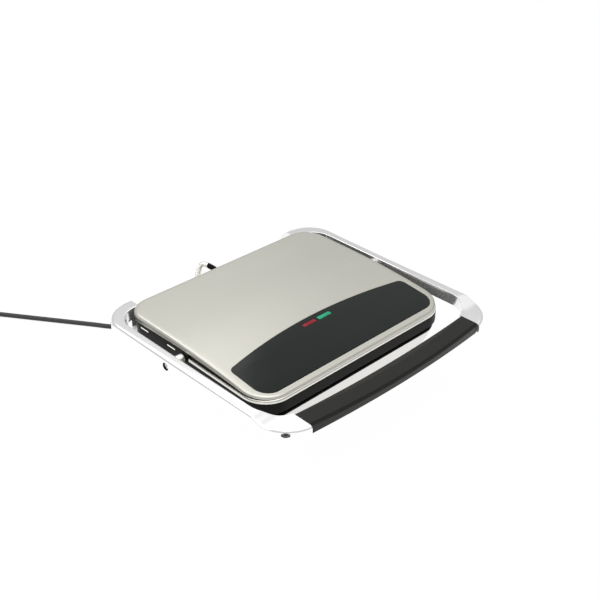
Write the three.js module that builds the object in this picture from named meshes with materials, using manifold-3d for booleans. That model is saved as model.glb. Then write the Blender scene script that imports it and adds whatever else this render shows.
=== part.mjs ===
// Contact grill: a ribbed plate in a low base, a ribbed plate in a floating lid,
// and a chrome handle frame that carries the lid and hinges at the back.
// Millimetres, +X to the user's right, +Y to the back, +Z up.
// The origin is on the table under the middle of the grill.

import * as THREE from 'three';
import { mergeVertices } from 'three/addons/utils/BufferGeometryUtils.js';
import Module from 'manifold-3d';

const wasm = await Module();
wasm.setup();

// Clearances and cutting overrun
const seat = 0.3;
const running = 0.5;
const overrun = 20;

// Facet counts
const cornerSteps = 7;
const sideSteps = 5;
const roundSides = 20;
const smallSides = 10;

// Heights, stacked from the table up
const footHeight = 5;
const baseTopHeight = 42.5;
const skirtGap = 5;
const lidHeadroom = 22.6;
const lidRise = 7;

// Depths from the front of the grip to the back of the wiring loop
const gripBow = 8.5;
const gripDepth = 25.5;
const fingerGap = 29.5;
const lidDepth = 241;
const rearGap = 6.5;
const rearBarDepth = 17.5;
const conduitReach = 19.5;

// Handle frame
const frameWidth = 350;
const frameSideBar = 12;
const frameHeight = 15.5;
const frameFrontInset = 5.5;
const frameFrontRadius = 46;
const frameRearRadius = 47;
const frameInnerFrontRadius = 38;
const frameInnerRearRadius = 30;
const frameFrontDrop = 4;
const frameRound = 4.5;
const frameInnerEdge = 0.8;
const crossBarDepth = 7.5;
const crossBarHeight = 10;
const crossBarDrop = 20;
const coreBarDepth = 11;
const coreBarHeight = 5;
const coreBarSetback = 14.5;
const coreBarSink = 12;

// Grip
const gripEndInset = 39;
const gripThickness = 10.5;
const gripWall = 2.2;
const gripInnerBow = 4;
const gripCreaseDepth = 2.6;
const gripRoll = 1.8;
const gripEdge = 1.5;
const gripScoopDepth = 8;
const gripScoopDrop = 1.6;
const gripScoopWall = 2;
const gripSteps = 12;
const gripCoverThickness = 2.2;

// Screws in the front corners
const cornerScrewHead = 3.4;
const cornerScrewHeadDepth = 2.6;
const cornerScrewShank = 1.8;
const cornerScrewLength = 11;
const screwRecessDepth = 1.2;
const hexSocket = 1.7;
const hexDepth = 1.6;
const hexSides = 6;

// Lid
const sideGap = 12;
const lidFrontRadius = 35;
const lidRearRadius = 27;
const lidFall = 12.4;
const lidFallStart = 0.72;
const lidSheet = 1.2;
const steelSideInset = 1.2;
const steelFrontInset = 2.8;
const steelRearInset = 0.8;
const rimFrontHeight = 3.4;
const rimRearHeight = 9.4;
const skirtInset = 0.8;
const skirtWall = 2.4;
const skirtLapShare = 0.6;
const skirtLapLeast = 3.25;
const skirtLapInset = 1.8;
const skirtFlange = 9;
const slotLength = 16;
const slotHeight = 3.2;
const slotDrop = 13.5;
const clipSheet = 0.8;
const clipRecess = 0.6;
const clipLeg = 6;
const slotFromRear = [82, 36];

// Rim profile of the steel: inset from its outline, and share of the rim's height below the top
const rimProfile = [
  { inset: 1.2, share: 1 },
  { inset: 0.3, share: 0.96 },
  { inset: 0, share: 0.8 },
  { inset: 0.1, share: 0.45 },
  { inset: 0.9, share: 0.2 },
  { inset: 2.6, share: 0.05 },
  { inset: 5.4, share: 0 },
];

// Trim band round the front of the lid, from pivot to pivot
const trimDrop = 20.1;
const trimRise = 2.3;
const trimHeight = 4.2;
const trimInset = 1;
const trimRound = 1;
const trimFaceInset = 1.6;
const trimEndSetback = 9.5;

// Lid pivots
const pivotFromLidFront = 135;
const pivotDrop = 9.7;
const pivotShaft = 2.5;
const pivotBoss = 4.1;
const pivotHead = 4;
const pivotHeadDepth = 2.6;
const pivotHeadSink = 1.2;
const bushFlange = 6.5;
const bushFlangeThickness = 2;
const bushLength = 8;

// Control panel and lamps
const panelSideInset = 11.3;
const panelFrontInset = 9.5;
const panelSideDepth = 60.4;
const panelArcRise = 15;
const panelFrontRadius = 20;
const panelRearRadius = 7;
const panelProud = 0.4;
const panelFlange = 2.4;
const panelFlangeThickness = 1.4;
const lampLength = 20;
const lampWidth = 6;
const lampSpacing = 24;
const lampFromPanelRear = 10;
const lampDepth = 5;
const lampRound = 1.6;
const boardLength = 62;
const boardWidth = 22;
const boardThickness = 1.6;

// Cooking plates
const upperPlateInset = 9;
const lowerPlateInset = 16;
const plateThickness = 8;
const ribHeight = 3;
const ribWidth = 4.4;
const ribTopWidth = 2.4;
const ribPitch = 12;
const ribMargin = 4.5;
const ribSideInset = 24;
const cookingGap = 5.2;
const drainWidth = 26;
const drainLength = 9;
const drainDepth = 4;

// Heating elements and heat shields
const elementDiameter = 6.5;
const elementSideInset = 59;
const elementEndInset = 53.5;
const elementLead = 26;
const elementSpacing = 36;
const shieldSheet = 0.8;
const shieldLip = 4;
const upperShieldInset = 24;
const lowerShieldInset = 24;
const elementCorner = 16;
const elementSteps = 44;

// Base
const baseSideInset = 3.5;
const baseLean = 26.5;
const baseFrontInset = 3;
const baseBottomFrontInset = 14;
const baseBottomRearInset = 16;
const baseFrontRadius = 33;
const baseRearRadius = 25;
const baseBottomRadius = 20;
const baseSheet = 1.6;
const baseBulge = 3;
const baseRings = 4;
const collarWall = 2.2;
const collarLip = 1.6;
const collarLedge = 7;
const collarLedgeThickness = 2;
const coverThickness = 2.4;
const coverSlotLength = 46;
const coverSlotWidth = 4;
const coverSlotPitch = 10;
const coverSlots = 7;

// Feet
const footRadius = 10;
const footTaper = 1.6;
const footSideInset = 23;
const footInset = 24;
const footStud = 4;
const footStudHeight = 2;

// Rear hinge
const hingeDrop = 28;
const hingeRadius = 9;
const earInset = 47;
const earThickness = 12;
const earReach = 8;
const earChamfer = 2;
const bracketRadius = 8.6;
const bracketThickness = 9;
const bracketPlateReach = 8;
const bracketPlateThickness = 3;
const bracketPlateLow = 12;
const bracketNeckTop = 6;
const pinRadius = 3.5;
const pinHeadRadius = 5.5;
const pinHead = 2;

// Wiring conduit between base and lid
const conduitRadius = 3.5;
const conduitSides = 8;
const conduitSteps = 26;
const conduitLidX = 5;
const conduitBaseX = -16;
const conduitTopX = -7;
const conduitCrestDrop = 3;
const conduitLidDrop = 21;
const conduitBaseHeight = 21;
const glandRadius = 5.2;
const glandFlange = 6.6;
const glandFlangeThickness = 1.6;
const glandLength = 7;
const straightRun = 7;

// Thermostat on the upper heat shield
const thermostatRadius = 9;
const thermostatHeight = 7;
const thermostatCap = 5;
const thermostatX = 58;
const thermostatFromRear = 70;

// Mains lead
const cordDiameter = 6.2;
const cordSides = 8;
const reliefLength = 30;
const reliefRootRadius = 6.5;
const reliefTipRadius = 4.3;
const reliefX = -36;
const reliefHeight = 17;
const reliefRings = 6;
const tableGap = 0.2;
const runSteps = 28;
const tailSteps = 8;
const coilMeanRadius = 34;
const coilPitch = 6.9;
const coilLayerStep = 6.7;
const coilLoopSteps = 24;
const coilSides = 6;
const coilTurns = 3;
const coilEntryX = -240;
const coilEntryY = 388;
const coilHeadingDegrees = 125;
const tailLength = 55;
const plugLength = 40;
const plugFaceRadius = 18.5;
const plugFaceThickness = 5;
const plugWaistRadius = 13.5;
const plugShoulder = 20;
const plugNeckLength = 13;
const plugNeckRadius = 5.5;
const plugPinLength = 19;
const plugPinRadius = 2.4;
const plugPinSpacing = 19;
const earthNotchWidth = 8;
const earthNotchDepth = 2.5;
const earthNotchLength = 14;
const tieWidth = 6;
const tieThickness = 1.2;
const tieCorner = 3;

// Route of the lead over the table, from the strain relief to the coil
const cordRoute = [
  { x: -36.5, y: 171, z: 13.5 },
  { x: -41, y: 182, z: 7 },
  { x: -51, y: 191, z: 3.8 },
  { x: -65, y: 197, z: 3.3 },
  { x: -82, y: 199.5, z: 3.3 },
  { x: -98, y: 202.5, z: 3.3 },
  { x: -110, y: 208, z: 3.3 },
  { x: -120, y: 216.5, z: 3.3 },
  { x: -134, y: 236.5, z: 3.3 },
  { x: -148, y: 256.5, z: 3.3 },
  { x: -195, y: 323.7, z: 3.3 },
  { x: -220, y: 359.4, z: 3.6 },
];

// Places along the depth, worked out from the driving dimensions
const gripRearDepth = gripBow + gripDepth;
const lidFrontDepth = gripRearDepth + fingerGap;
const lidRearDepth = lidFrontDepth + lidDepth;
const frameInnerRearDepth = lidRearDepth + rearGap;
const frameRearDepth = frameInnerRearDepth + rearBarDepth;
const overallDepth = frameRearDepth + conduitReach;
const yAt = (depth) => depth - overallDepth / 2;

const frameHalf = frameWidth / 2;
const frameInnerHalf = frameHalf - frameSideBar;
const lidHalf = frameInnerHalf - sideGap;
const gripHalfWidth = frameHalf - gripEndInset;
const earInner = frameHalf - earInset;
const panelHalfWidth = lidHalf - panelSideInset;
const elementHalfWidth = lidHalf - elementSideInset;
const ribHalfSpan = lidHalf - ribSideInset;
const baseTopHalfWidth = lidHalf - baseSideInset;
const baseBottomHalfWidth = baseTopHalfWidth - baseLean;
const footSide = baseBottomHalfWidth - footSideInset;
const frameFrontY = yAt(frameFrontInset);
const frameRearY = yAt(frameRearDepth);
const frameInnerFrontY = yAt(gripRearDepth);
const frameInnerRearY = yAt(frameInnerRearDepth);
const lidFrontY = yAt(lidFrontDepth);
const lidRearY = yAt(lidRearDepth);
const pivotY = lidFrontY + pivotFromLidFront;
const hingeY = frameRearY;
const baseTopFrontY = lidFrontY + baseFrontInset;
const baseTopRearY = lidRearY - baseFrontInset;
const baseBottomFrontY = baseTopFrontY + baseBottomFrontInset;
const baseBottomRearY = baseTopRearY - baseBottomRearInset;
const elementDepth = baseTopRearY - baseTopFrontY - 2 * elementEndInset;
const lowerRibTop = baseTopHeight - seat;
const lowerPlateTop = lowerRibTop - ribHeight;
const lowerPlateBottom = lowerPlateTop - plateThickness;
const upperRibTip = lowerRibTop + cookingGap;
const upperPlateBottom = upperRibTip + ribHeight;
const upperPlateTop = upperPlateBottom + plateThickness;
const lidTopHeight = upperPlateTop + lidHeadroom;
const frameTopHeight = lidTopHeight - lidRise;
const skirtBottomHeight = baseTopHeight + skirtGap;
const pivotZ = frameTopHeight - pivotDrop;
const hingeZ = frameTopHeight - hingeDrop;
const conduitCrest = frameTopHeight - conduitCrestDrop;
const conduitLidHeight = lidTopHeight - conduitLidDrop;

// Geometry helpers

// Points of a rounded rectangle, anticlockwise from the middle of the front edge,
// each with its outward normal. The left half mirrors the right half.
function outline({ half, front, rear, frontRadius, rearRadius, frontXs = [], rearXs = [] }) {
  const right = [{ x: 0, y: front, nx: 0, ny: -1 }];
  for (const x of frontXs) right.push({ x, y: front, nx: 0, ny: -1 });
  for (let i = 0; i <= cornerSteps; i += 1) {
    const a = (i / cornerSteps - 1) * Math.PI / 2;
    const nx = Math.cos(a);
    const ny = Math.sin(a);
    const x = half - frontRadius + frontRadius * nx;
    const y = front + frontRadius + frontRadius * ny;
    right.push({ x, y, nx, ny });
  }
  const sideStart = front + frontRadius;
  const sideEnd = rear - rearRadius;
  for (let i = 1; i < sideSteps; i += 1) {
    right.push({ x: half, y: sideStart + (sideEnd - sideStart) * i / sideSteps, nx: 1, ny: 0 });
  }
  for (let i = 0; i <= cornerSteps; i += 1) {
    const a = (i / cornerSteps) * Math.PI / 2;
    const nx = Math.cos(a);
    const ny = Math.sin(a);
    const x = half - rearRadius + rearRadius * nx;
    const y = rear - rearRadius + rearRadius * ny;
    right.push({ x, y, nx, ny });
  }
  for (const x of rearXs) right.push({ x, y: rear, nx: 0, ny: 1 });
  const left = right.slice(1).reverse().map((p) => ({ x: -p.x, y: p.y, nx: -p.nx, ny: p.ny }));
  return [...right, { x: 0, y: rear, nx: 0, ny: 1 }, ...left];
}

// One ring of a loft: the outline moved inwards, at a height that may follow the place.
function ring(points, inset, heightAt) {
  return points.map((p) => {
    const x = p.x - p.nx * inset;
    const y = p.y - p.ny * inset;
    return new THREE.Vector3(x, y, heightAt(x, y));
  });
}

// Skin through equal rings. Rings run anticlockwise seen from where the stack goes.
// Closed stacks join the last ring to the first; open ones get a cap at each end.
function loft(rings, { closed = false, cap = 'strip' } = {}) {
  const n = rings[0].length;
  const position = rings.flat().flatMap((v) => [v.x, v.y, v.z]);
  const index = [];
  const spans = closed ? rings.length : rings.length - 1;
  for (let k = 0; k < spans; k += 1) {
    const low = k * n;
    const high = ((k + 1) % rings.length) * n;
    for (let i = 0; i < n; i += 1) {
      const j = (i + 1) % n;
      index.push(low + i, low + j, high + j, low + i, high + j, high + i);
    }
  }
  if (!closed) {
    const last = (rings.length - 1) * n;
    for (const [a, b, c] of capTriangles(rings[0], cap)) index.push(a, c, b);
    for (const [a, b, c] of capTriangles(rings.at(-1), cap)) index.push(last + a, last + b, last + c);
  }
  const geometry = new THREE.BufferGeometry();
  geometry.setAttribute('position', new THREE.Float32BufferAttribute(position, 3));
  geometry.setIndex(index);
  return geometry;
}

function capTriangles(points, kind) {
  const n = points.length;
  if (kind === 'strip') {
    const triangles = [];
    for (let i = 0; i < n / 2 - 1; i += 1) {
      const j = i + 1;
      if (i > 0) triangles.push([i, n - j, n - i]);
      triangles.push([i, j, n - j]);
    }
    triangles.push([n / 2 - 1, n / 2, n / 2 + 1]);
    return triangles;
  }
  if (kind === 'quad') return [[0, 1, 2], [0, 2, 3]];
  const flat = points.map((v) => new THREE.Vector2(v.y, v.z));
  return THREE.ShapeUtils.triangulateShape(flat, []);
}

function toManifold(geometry) {
  const bare = geometry.clone();
  for (const name of Object.keys(bare.attributes)) {
    if (name !== 'position') bare.deleteAttribute(name);
  }
  const merged = mergeVertices(bare);
  return new wasm.Manifold(new wasm.Mesh({
    numProp: 3,
    vertProperties: new Float32Array(merged.attributes.position.array),
    triVerts: new Uint32Array(merged.index.array),
  }));
}

function toGeometry(solid) {
  const mesh = solid.getMesh();
  const geometry = new THREE.BufferGeometry();
  geometry.setAttribute('position', new THREE.BufferAttribute(new Float32Array(mesh.vertProperties), 3));
  geometry.setIndex(new THREE.BufferAttribute(new Uint32Array(mesh.triVerts), 1));
  return geometry;
}

function cut(body, ...tools) {
  return toGeometry(tools.reduce((solid, tool) => solid.subtract(toManifold(tool)), toManifold(body)));
}

function join(...bodies) {
  return toGeometry(bodies.map(toManifold).reduce((a, b) => a.add(b)));
}

function boxBetween(x0, x1, y0, y1, z0, z1) {
  const geometry = new THREE.BoxGeometry(x1 - x0, y1 - y0, z1 - z0);
  return geometry.translate((x0 + x1) / 2, (y0 + y1) / 2, (z0 + z1) / 2);
}

// Revolved solid: profile points are radius and height, turned about Z.
function turned(profile, sides = roundSides) {
  return new THREE.LatheGeometry(profile.map(([r, h]) => new THREE.Vector2(r, h)), sides)
    .rotateX(Math.PI / 2);
}

// The same, with the axis along X, heights growing with X.
function turnedAlongX(profile, x, y, z, sides = roundSides) {
  return turned(profile, sides).rotateY(Math.PI / 2).translate(x, y, z);
}

function turnedAlongY(profile, x, y, z, sides = roundSides) {
  return turned(profile, sides).rotateX(-Math.PI / 2).translate(x, y, z);
}

function rod(radius, length) {
  return [[0, 0], [radius, 0], [radius, length], [0, length]];
}

function circleShape(radius, sides) {
  const shape = new THREE.Shape();
  for (let i = 0; i < sides; i += 1) {
    const a = i / sides * Math.PI * 2;
    const x = radius * Math.cos(a);
    const y = radius * Math.sin(a);
    if (i === 0) shape.moveTo(x, y);
    else shape.lineTo(x, y);
  }
  shape.closePath();
  return shape;
}

function tube(curve, radius, sides, steps) {
  const options = { steps, extrudePath: curve, bevelEnabled: false };
  return new THREE.ExtrudeGeometry(circleShape(radius, sides), options);
}

// A closed polygon in the Y-Z plane, given by points, extruded along X from x0 to x1.
function profileAlongX(points, x0, x1) {
  const rings = [x0, x1].map((x) => points.map(([y, z]) => new THREE.Vector3(x, y, z)));
  return loft(rings, { cap: 'flat' });
}

function mirrored(geometry) {
  const copy = geometry.clone().scale(-1, 1, 1);
  const index = copy.index ? copy.index.array : [...Array(copy.attributes.position.count).keys()];
  const flipped = [];
  for (let i = 0; i < index.length; i += 3) flipped.push(index[i], index[i + 2], index[i + 1]);
  copy.setIndex(flipped);
  return copy;
}

// Finishes
const finish = (color, roughness, metalness) => new THREE.MeshStandardMaterial({ color, roughness, metalness });
const brushedSteel = finish('#c4c3bd', 0.35, 1);
const chrome = finish('#e6e7ea', 0.08, 1);
const blackPlastic = finish('#2b2926', 0.5, 0);
const glossBlack = finish('#363a37', 0.12, 0);
const satinBlack = finish('#3a3936', 0.45, 0);
const rubber = finish('#1d1d1d', 0.85, 0);
const nonStick = finish('#2c2c2d', 0.5, 0.3);
const aluminium = finish('#b4b6b8', 0.4, 1);
const zincSteel = finish('#a9abad', 0.4, 1);
const redLens = finish('#b02a3e', 0.25, 0);
const greenLens = finish('#35b586', 0.25, 0);
const cordBlack = finish('#383838', 0.55, 0);
const boardGreen = finish('#2f5d3a', 0.6, 0);

const grill = new THREE.Group();
grill.name = 'contact_grill';
const baseGroup = new THREE.Group();
const frameGroup = new THREE.Group();
const lidGroup = new THREE.Group();
const cordGroup = new THREE.Group();
grill.add(baseGroup, frameGroup, lidGroup, cordGroup);

function add(group, name, geometry, material) {
  const mesh = new THREE.Mesh(geometry, material);
  mesh.name = name;
  group.add(mesh);
  return mesh;
}

// Lid: the steel top is flat at the back and falls in a smooth curve to the front
function lidTopAt(y) {
  const share = (lidRearY - y) / lidDepth;
  const fallShare = 1 - lidFallStart;
  const t = Math.max(0, share - fallShare) / lidFallStart;
  return lidTopHeight - lidFall * t * t;
}

const lidOutline = outline({
  half: lidHalf, front: lidFrontY, rear: lidRearY, frontRadius: lidFrontRadius, rearRadius: lidRearRadius,
});

const steelOutline = outline({
  half: lidHalf - steelSideInset, front: lidFrontY + steelFrontInset, rear: lidRearY - steelRearInset,
  frontRadius: lidFrontRadius - steelSideInset, rearRadius: lidRearRadius - steelRearInset,
});

// The steel's rim is tallest at the back and gets lower towards the front
const rimHeightAt = (y) => rimFrontHeight + (rimRearHeight - rimFrontHeight) * (y - lidFrontY) / lidDepth;
const steelEdgeAt = (x, y) => lidTopAt(y) - rimHeightAt(y);
const rimRing = (inset, share) => ring(steelOutline, inset, (x, y) => lidTopAt(y) - rimHeightAt(y) * share);
const lidSkinInner = rimProfile.slice(1).map((p) => rimRing(p.inset + lidSheet, p.share)).reverse();
const lidCeiling = ring(steelOutline, rimProfile.at(-1).inset + lidSheet, (x, y) => lidTopAt(y) - lidSheet);
const lidWallInner = lidSkinInner.slice(3);
const lidShellSolid = loft([
  lidCeiling,
  ...lidWallInner,
  ...rimProfile.map((p) => rimRing(p.inset, p.share)),
]);

// Panel outline: straight front and sides, rounded corners, rear edge a shallow arc
const panelFrontY = lidFrontY + panelFrontInset;
const panelTipY = panelFrontY + panelSideDepth;
const panelRearY = panelTipY + panelArcRise;

function panelRing(inset, heightAt) {
  const half = panelHalfWidth - inset;
  const front = panelFrontY + inset;
  const radius = panelFrontRadius - inset;
  const points = [[0, front]];
  for (let i = 0; i <= cornerSteps; i += 1) {
    const a = (i / cornerSteps - 1) * Math.PI / 2;
    points.push([half - radius + radius * Math.cos(a), front + radius + radius * Math.sin(a)]);
  }
  const tipRadius = panelRearRadius;
  for (let i = 0; i <= sideSteps; i += 1) {
    const a = i / sideSteps * Math.PI / 2;
    const x = half - tipRadius + tipRadius * Math.cos(a);
    const y = panelTipY - inset - tipRadius + tipRadius * Math.sin(a);
    points.push([x, y]);
  }
  const reach = half - tipRadius;
  for (let i = 1; i < cornerSteps; i += 1) {
    const share = 1 - i / cornerSteps;
    const y = panelTipY - inset + panelArcRise * (1 - share * share);
    points.push([reach * share, y]);
  }
  const left = points.slice(1).reverse().map(([x, y]) => [-x, y]);
  return [...points, [0, panelRearY - inset], ...left]
    .map(([x, y]) => new THREE.Vector3(x, y, heightAt(y)));
}

const panelTopAt = (y) => lidTopAt(y) + panelProud;
const panelUnderside = lidSheet + seat + panelFlangeThickness;
const panelLow = (y) => lidTopAt(y) - panelUnderside;
const panelMid = (y) => lidTopAt(y) - lidSheet - seat;
const panelBody = loft([
  panelRing(-panelFlange, panelLow),
  panelRing(-panelFlange, panelMid),
  panelRing(seat, panelMid),
  panelRing(seat, panelTopAt),
]);
const panelOpening = loft([
  panelRing(0, (y) => lidTopAt(y) - lidSheet - panelFlange),
  panelRing(0, (y) => lidTopAt(y) + panelFlange),
]);

// Lamps: lens blocks with rounded ends that come up flush through the panel
const lampY = panelRearY - lampFromPanelRear;
const lampTop = panelTopAt(lampY);
const lampBottom = lampTop - lampDepth;

function lampBlock(grow, bottom, top) {
  const hx = lampLength / 2 + grow;
  const hy = lampWidth / 2 + grow;
  const r = lampRound + grow;
  const shape = new THREE.Shape();
  shape.moveTo(-hx + r, -hy);
  shape.lineTo(hx - r, -hy);
  shape.absarc(hx - r, -hy + r, r, -Math.PI / 2, 0);
  shape.lineTo(hx, hy - r);
  shape.absarc(hx - r, hy - r, r, 0, Math.PI / 2);
  shape.lineTo(-hx + r, hy);
  shape.absarc(-hx + r, hy - r, r, Math.PI / 2, Math.PI);
  shape.lineTo(-hx, -hy + r);
  shape.absarc(-hx + r, -hy + r, r, Math.PI, Math.PI * 1.5);
  const options = { depth: top - bottom, bevelEnabled: false, curveSegments: 3 };
  return new THREE.ExtrudeGeometry(shape, options).translate(0, lampY, bottom);
}

const lampSides = { red_lamp: -1, green_lamp: 1 };
const lampMaterial = { red_lamp: redLens, green_lamp: greenLens };
const lampHoles = Object.values(lampSides)
  .map((side) => lampBlock(seat, lampBottom - overrun, lampTop + overrun).translate(side * lampSpacing / 2, 0, 0));
add(lidGroup, 'control_panel', cut(panelBody, ...lampHoles), glossBlack);
for (const [name, side] of Object.entries(lampSides)) {
  const lens = lampBlock(0, lampBottom, lampTop).translate(side * lampSpacing / 2, 0, 0);
  add(lidGroup, name, lens, lampMaterial[name]);
}
const boardTop = lampBottom - seat;
const board = boxBetween(
  -boardLength / 2, boardLength / 2,
  lampY - boardWidth / 2, lampY + boardWidth / 2,
  boardTop - boardThickness, boardTop,
);
add(lidGroup, 'lamp_board', board, boardGreen);

add(lidGroup, 'lid_shell', cut(lidShellSolid, panelOpening), brushedSteel);

// Skirt: a moulded ring inside the steel rim, with an inward flange under the plate
const skirtInnerInset = skirtInset + skirtWall;
const skirtEdgeAt = (x, y) => steelEdgeAt(x, y) - seat;
const skirtTopAt = (x, y) => lidTopAt(y) - Math.max(rimHeightAt(y) * skirtLapShare, skirtLapLeast);
const level = (z) => () => z;
const skirtFlangeTop = upperPlateBottom - seat;
const skirtBackInset = skirtLapInset + skirtWall;
const skirtRings = [
  ring(lidOutline, skirtInnerInset + skirtFlange, level(skirtBottomHeight)),
  ring(lidOutline, skirtInset, level(skirtBottomHeight)),
  ring(lidOutline, skirtInset, skirtEdgeAt),
  ring(steelOutline, skirtLapInset, skirtEdgeAt),
  ring(steelOutline, skirtLapInset, skirtTopAt),
  ring(steelOutline, skirtBackInset, skirtTopAt),
  ring(steelOutline, skirtBackInset, level(skirtFlangeTop)),
  ring(lidOutline, skirtInnerInset + skirtFlange, level(skirtFlangeTop)),
];

// Trim: a bright band let into a groove of the skirt, under the steel, from pivot to pivot
const trimLowAt = (x, y) => lidTopHeight - trimDrop + trimRise * (y - lidFrontY) / lidDepth * 2;
const trimHighAt = (x, y) => trimLowAt(x, y) + trimHeight;
const trimEndY = pivotY - trimEndSetback;
const behindTrim = (y) => boxBetween(
  -frameHalf, frameHalf, y, lidRearY + overrun, skirtBottomHeight, lidTopHeight + overrun,
);
const trimBand = loft([
  ring(steelOutline, trimFaceInset - seat, trimLowAt),
  ring(lidOutline, trimInset + trimRound, trimLowAt),
  ring(lidOutline, trimInset, (x, y) => trimLowAt(x, y) + trimRound),
  ring(lidOutline, trimInset, (x, y) => trimHighAt(x, y) - trimRound),
  ring(lidOutline, trimInset + trimRound, trimHighAt),
  ring(steelOutline, trimFaceInset - seat, trimHighAt),
], { closed: true });
add(lidGroup, 'lid_trim', cut(trimBand, behindTrim(trimEndY)), brushedSteel);
const trimGroove = cut(loft([
  ring(steelOutline, trimFaceInset, (x, y) => trimLowAt(x, y) - seat),
  ring(lidOutline, -overrun, (x, y) => trimLowAt(x, y) - seat),
  ring(lidOutline, -overrun, (x, y) => lidTopAt(y)),
  ring(steelOutline, trimFaceInset, (x, y) => lidTopAt(y)),
], { closed: true }), behindTrim(trimEndY + seat));

// Vent slots near the back on both sides, each with a spring clip of the steel top behind it
const slotZ = lidTopHeight - slotDrop;
const skirtInnerX = lidHalf - steelSideInset - skirtBackInset;
const slotCuts = [];
const sideNames = { left: -1, right: 1 };
const placeNames = ['front', 'rear'];

for (const [sideName, side] of Object.entries(sideNames)) {
  slotFromRear.forEach((offset, i) => {
    const y = lidRearY - offset;
    const hole = boxBetween(
      lidHalf - overrun, lidHalf + overrun,
      y - slotLength / 2, y + slotLength / 2,
      slotZ - slotHeight / 2, slotZ + slotHeight / 2,
    );
    slotCuts.push(side > 0 ? hole : mirrored(hole));
    const y0 = y - slotLength / 2 + seat;
    const y1 = y + slotLength / 2 - seat;
    const tab = boxBetween(
      skirtInnerX - seat - clipSheet, lidHalf - skirtInset - clipRecess, y0, y1,
      slotZ - slotHeight / 2 + seat, slotZ + slotHeight / 2 - seat,
    );
    const leg = boxBetween(
      skirtInnerX - seat - clipSheet, skirtInnerX - seat, y0, y1,
      slotZ - slotHeight / 2 + seat, slotZ + slotHeight / 2 + clipLeg,
    );
    const clip = join(tab, leg);
    add(lidGroup, `cover_clip_${sideName}_${placeNames[i]}`, side > 0 ? clip : mirrored(clip), zincSteel);
  });
}

// Lid pivots: a bush in each side of the skirt and a shoulder bolt through the frame
const bushEnd = lidHalf - skirtInset;
const bushProfile = [
  [pivotShaft + running, bushEnd - bushLength - bushFlangeThickness],
  [pivotBoss, bushEnd - bushLength - bushFlangeThickness],
  [pivotBoss, skirtInnerX - seat - bushFlangeThickness],
  [bushFlange, skirtInnerX - seat - bushFlangeThickness],
  [bushFlange, skirtInnerX - seat],
  [pivotBoss, skirtInnerX - seat],
  [pivotBoss, bushEnd],
  [pivotShaft + running, bushEnd],
  [pivotShaft + running, bushEnd - bushLength - bushFlangeThickness],
];
const boltHeadInner = frameHalf - pivotHeadSink - pivotHeadDepth;
const boltProfile = [
  [0, bushEnd - bushLength],
  [pivotShaft, bushEnd - bushLength],
  [pivotShaft, bushEnd + running],
  [pivotBoss, bushEnd + running],
  [pivotBoss, frameInnerHalf - seat],
  [pivotShaft, frameInnerHalf - seat],
  [pivotShaft, boltHeadInner],
  [pivotHead, boltHeadInner],
  [pivotHead, boltHeadInner + pivotHeadDepth],
  [0, boltHeadInner + pivotHeadDepth],
];
const bush = turnedAlongX(bushProfile, 0, pivotY, pivotZ, smallSides);
const boltBody = turnedAlongX(boltProfile, 0, pivotY, pivotZ, smallSides);
const boltSocket = turnedAlongX(
  rod(hexSocket, overrun), boltHeadInner + pivotHeadDepth - hexDepth, pivotY, pivotZ, hexSides,
);
const bolt = cut(boltBody, boltSocket);
const skirtHole = turnedAlongX(rod(pivotBoss + seat, overrun * 2), lidHalf - overrun, pivotY, pivotZ, smallSides);
for (const [sideName, side] of Object.entries(sideNames)) {
  add(lidGroup, `pivot_bush_${sideName}`, side > 0 ? bush : mirrored(bush), zincSteel);
  add(frameGroup, `pivot_bolt_${sideName}`, side > 0 ? bolt : mirrored(bolt), chrome);
}

// Gland where the wiring conduit enters the lid
const glandProfile = [
  [conduitRadius + running, 0],
  [glandRadius, 0],
  [glandRadius, glandLength - glandFlangeThickness],
  [glandFlange, glandLength - glandFlangeThickness],
  [glandFlange, glandLength],
  [conduitRadius + running, glandLength],
  [conduitRadius + running, 0],
];
const lidRearFace = lidRearY - skirtInset;
const lidGlandStart = lidRearFace + seat + glandFlangeThickness - glandLength;
const glandHole = (x, y, z) => turnedAlongY(rod(glandRadius + seat, overrun * 2), x, y - overrun, z, smallSides);
add(lidGroup, 'conduit_gland_lid',
  turnedAlongY(glandProfile, conduitLidX, lidGlandStart, conduitLidHeight, smallSides), blackPlastic);

const skirtSolid = cut(
  loft(skirtRings, { closed: true }),
  ...slotCuts,
  trimGroove,
  skirtHole,
  mirrored(skirtHole),
  glandHole(conduitLidX, lidRearFace, conduitLidHeight),
);
add(lidGroup, 'lid_skirt', skirtSolid, blackPlastic);

// Cooking plates: cast slabs with tapered ribs that run from front to back
function ribbed(slab, faceZ, direction, front, rear) {
  const ribs = [];
  const count = Math.floor(ribHalfSpan / ribPitch - 1 / 2);
  for (let i = -count - 1; i <= count; i += 1) {
    const x = (i + 1 / 2) * ribPitch;
    const sink = ribHeight / 2;
    const rib = [[front, rear, ribWidth / 2], [front + ribHeight, rear - ribHeight, ribTopWidth / 2]]
      .map(([y0, y1, half], k) => {
        const z = faceZ + direction * (k === 0 ? -sink : ribHeight);
        return [[-half, y0], [half, y0], [half, y1], [-half, y1]].map(([dx, y]) => [x + dx, y, z]);
      });
    ribs.push(prism(direction > 0 ? rib : rib.reverse()));
  }
  return join(slab, ...ribs);
}

// A solid between two four-cornered faces, the lower one first.
function prism(faces) {
  const rings = faces.map((face) => face.map(([x, y, z]) => new THREE.Vector3(x, y, z)));
  const geometry = loft(rings, { closed: false, cap: 'quad' });
  return geometry;
}

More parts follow.
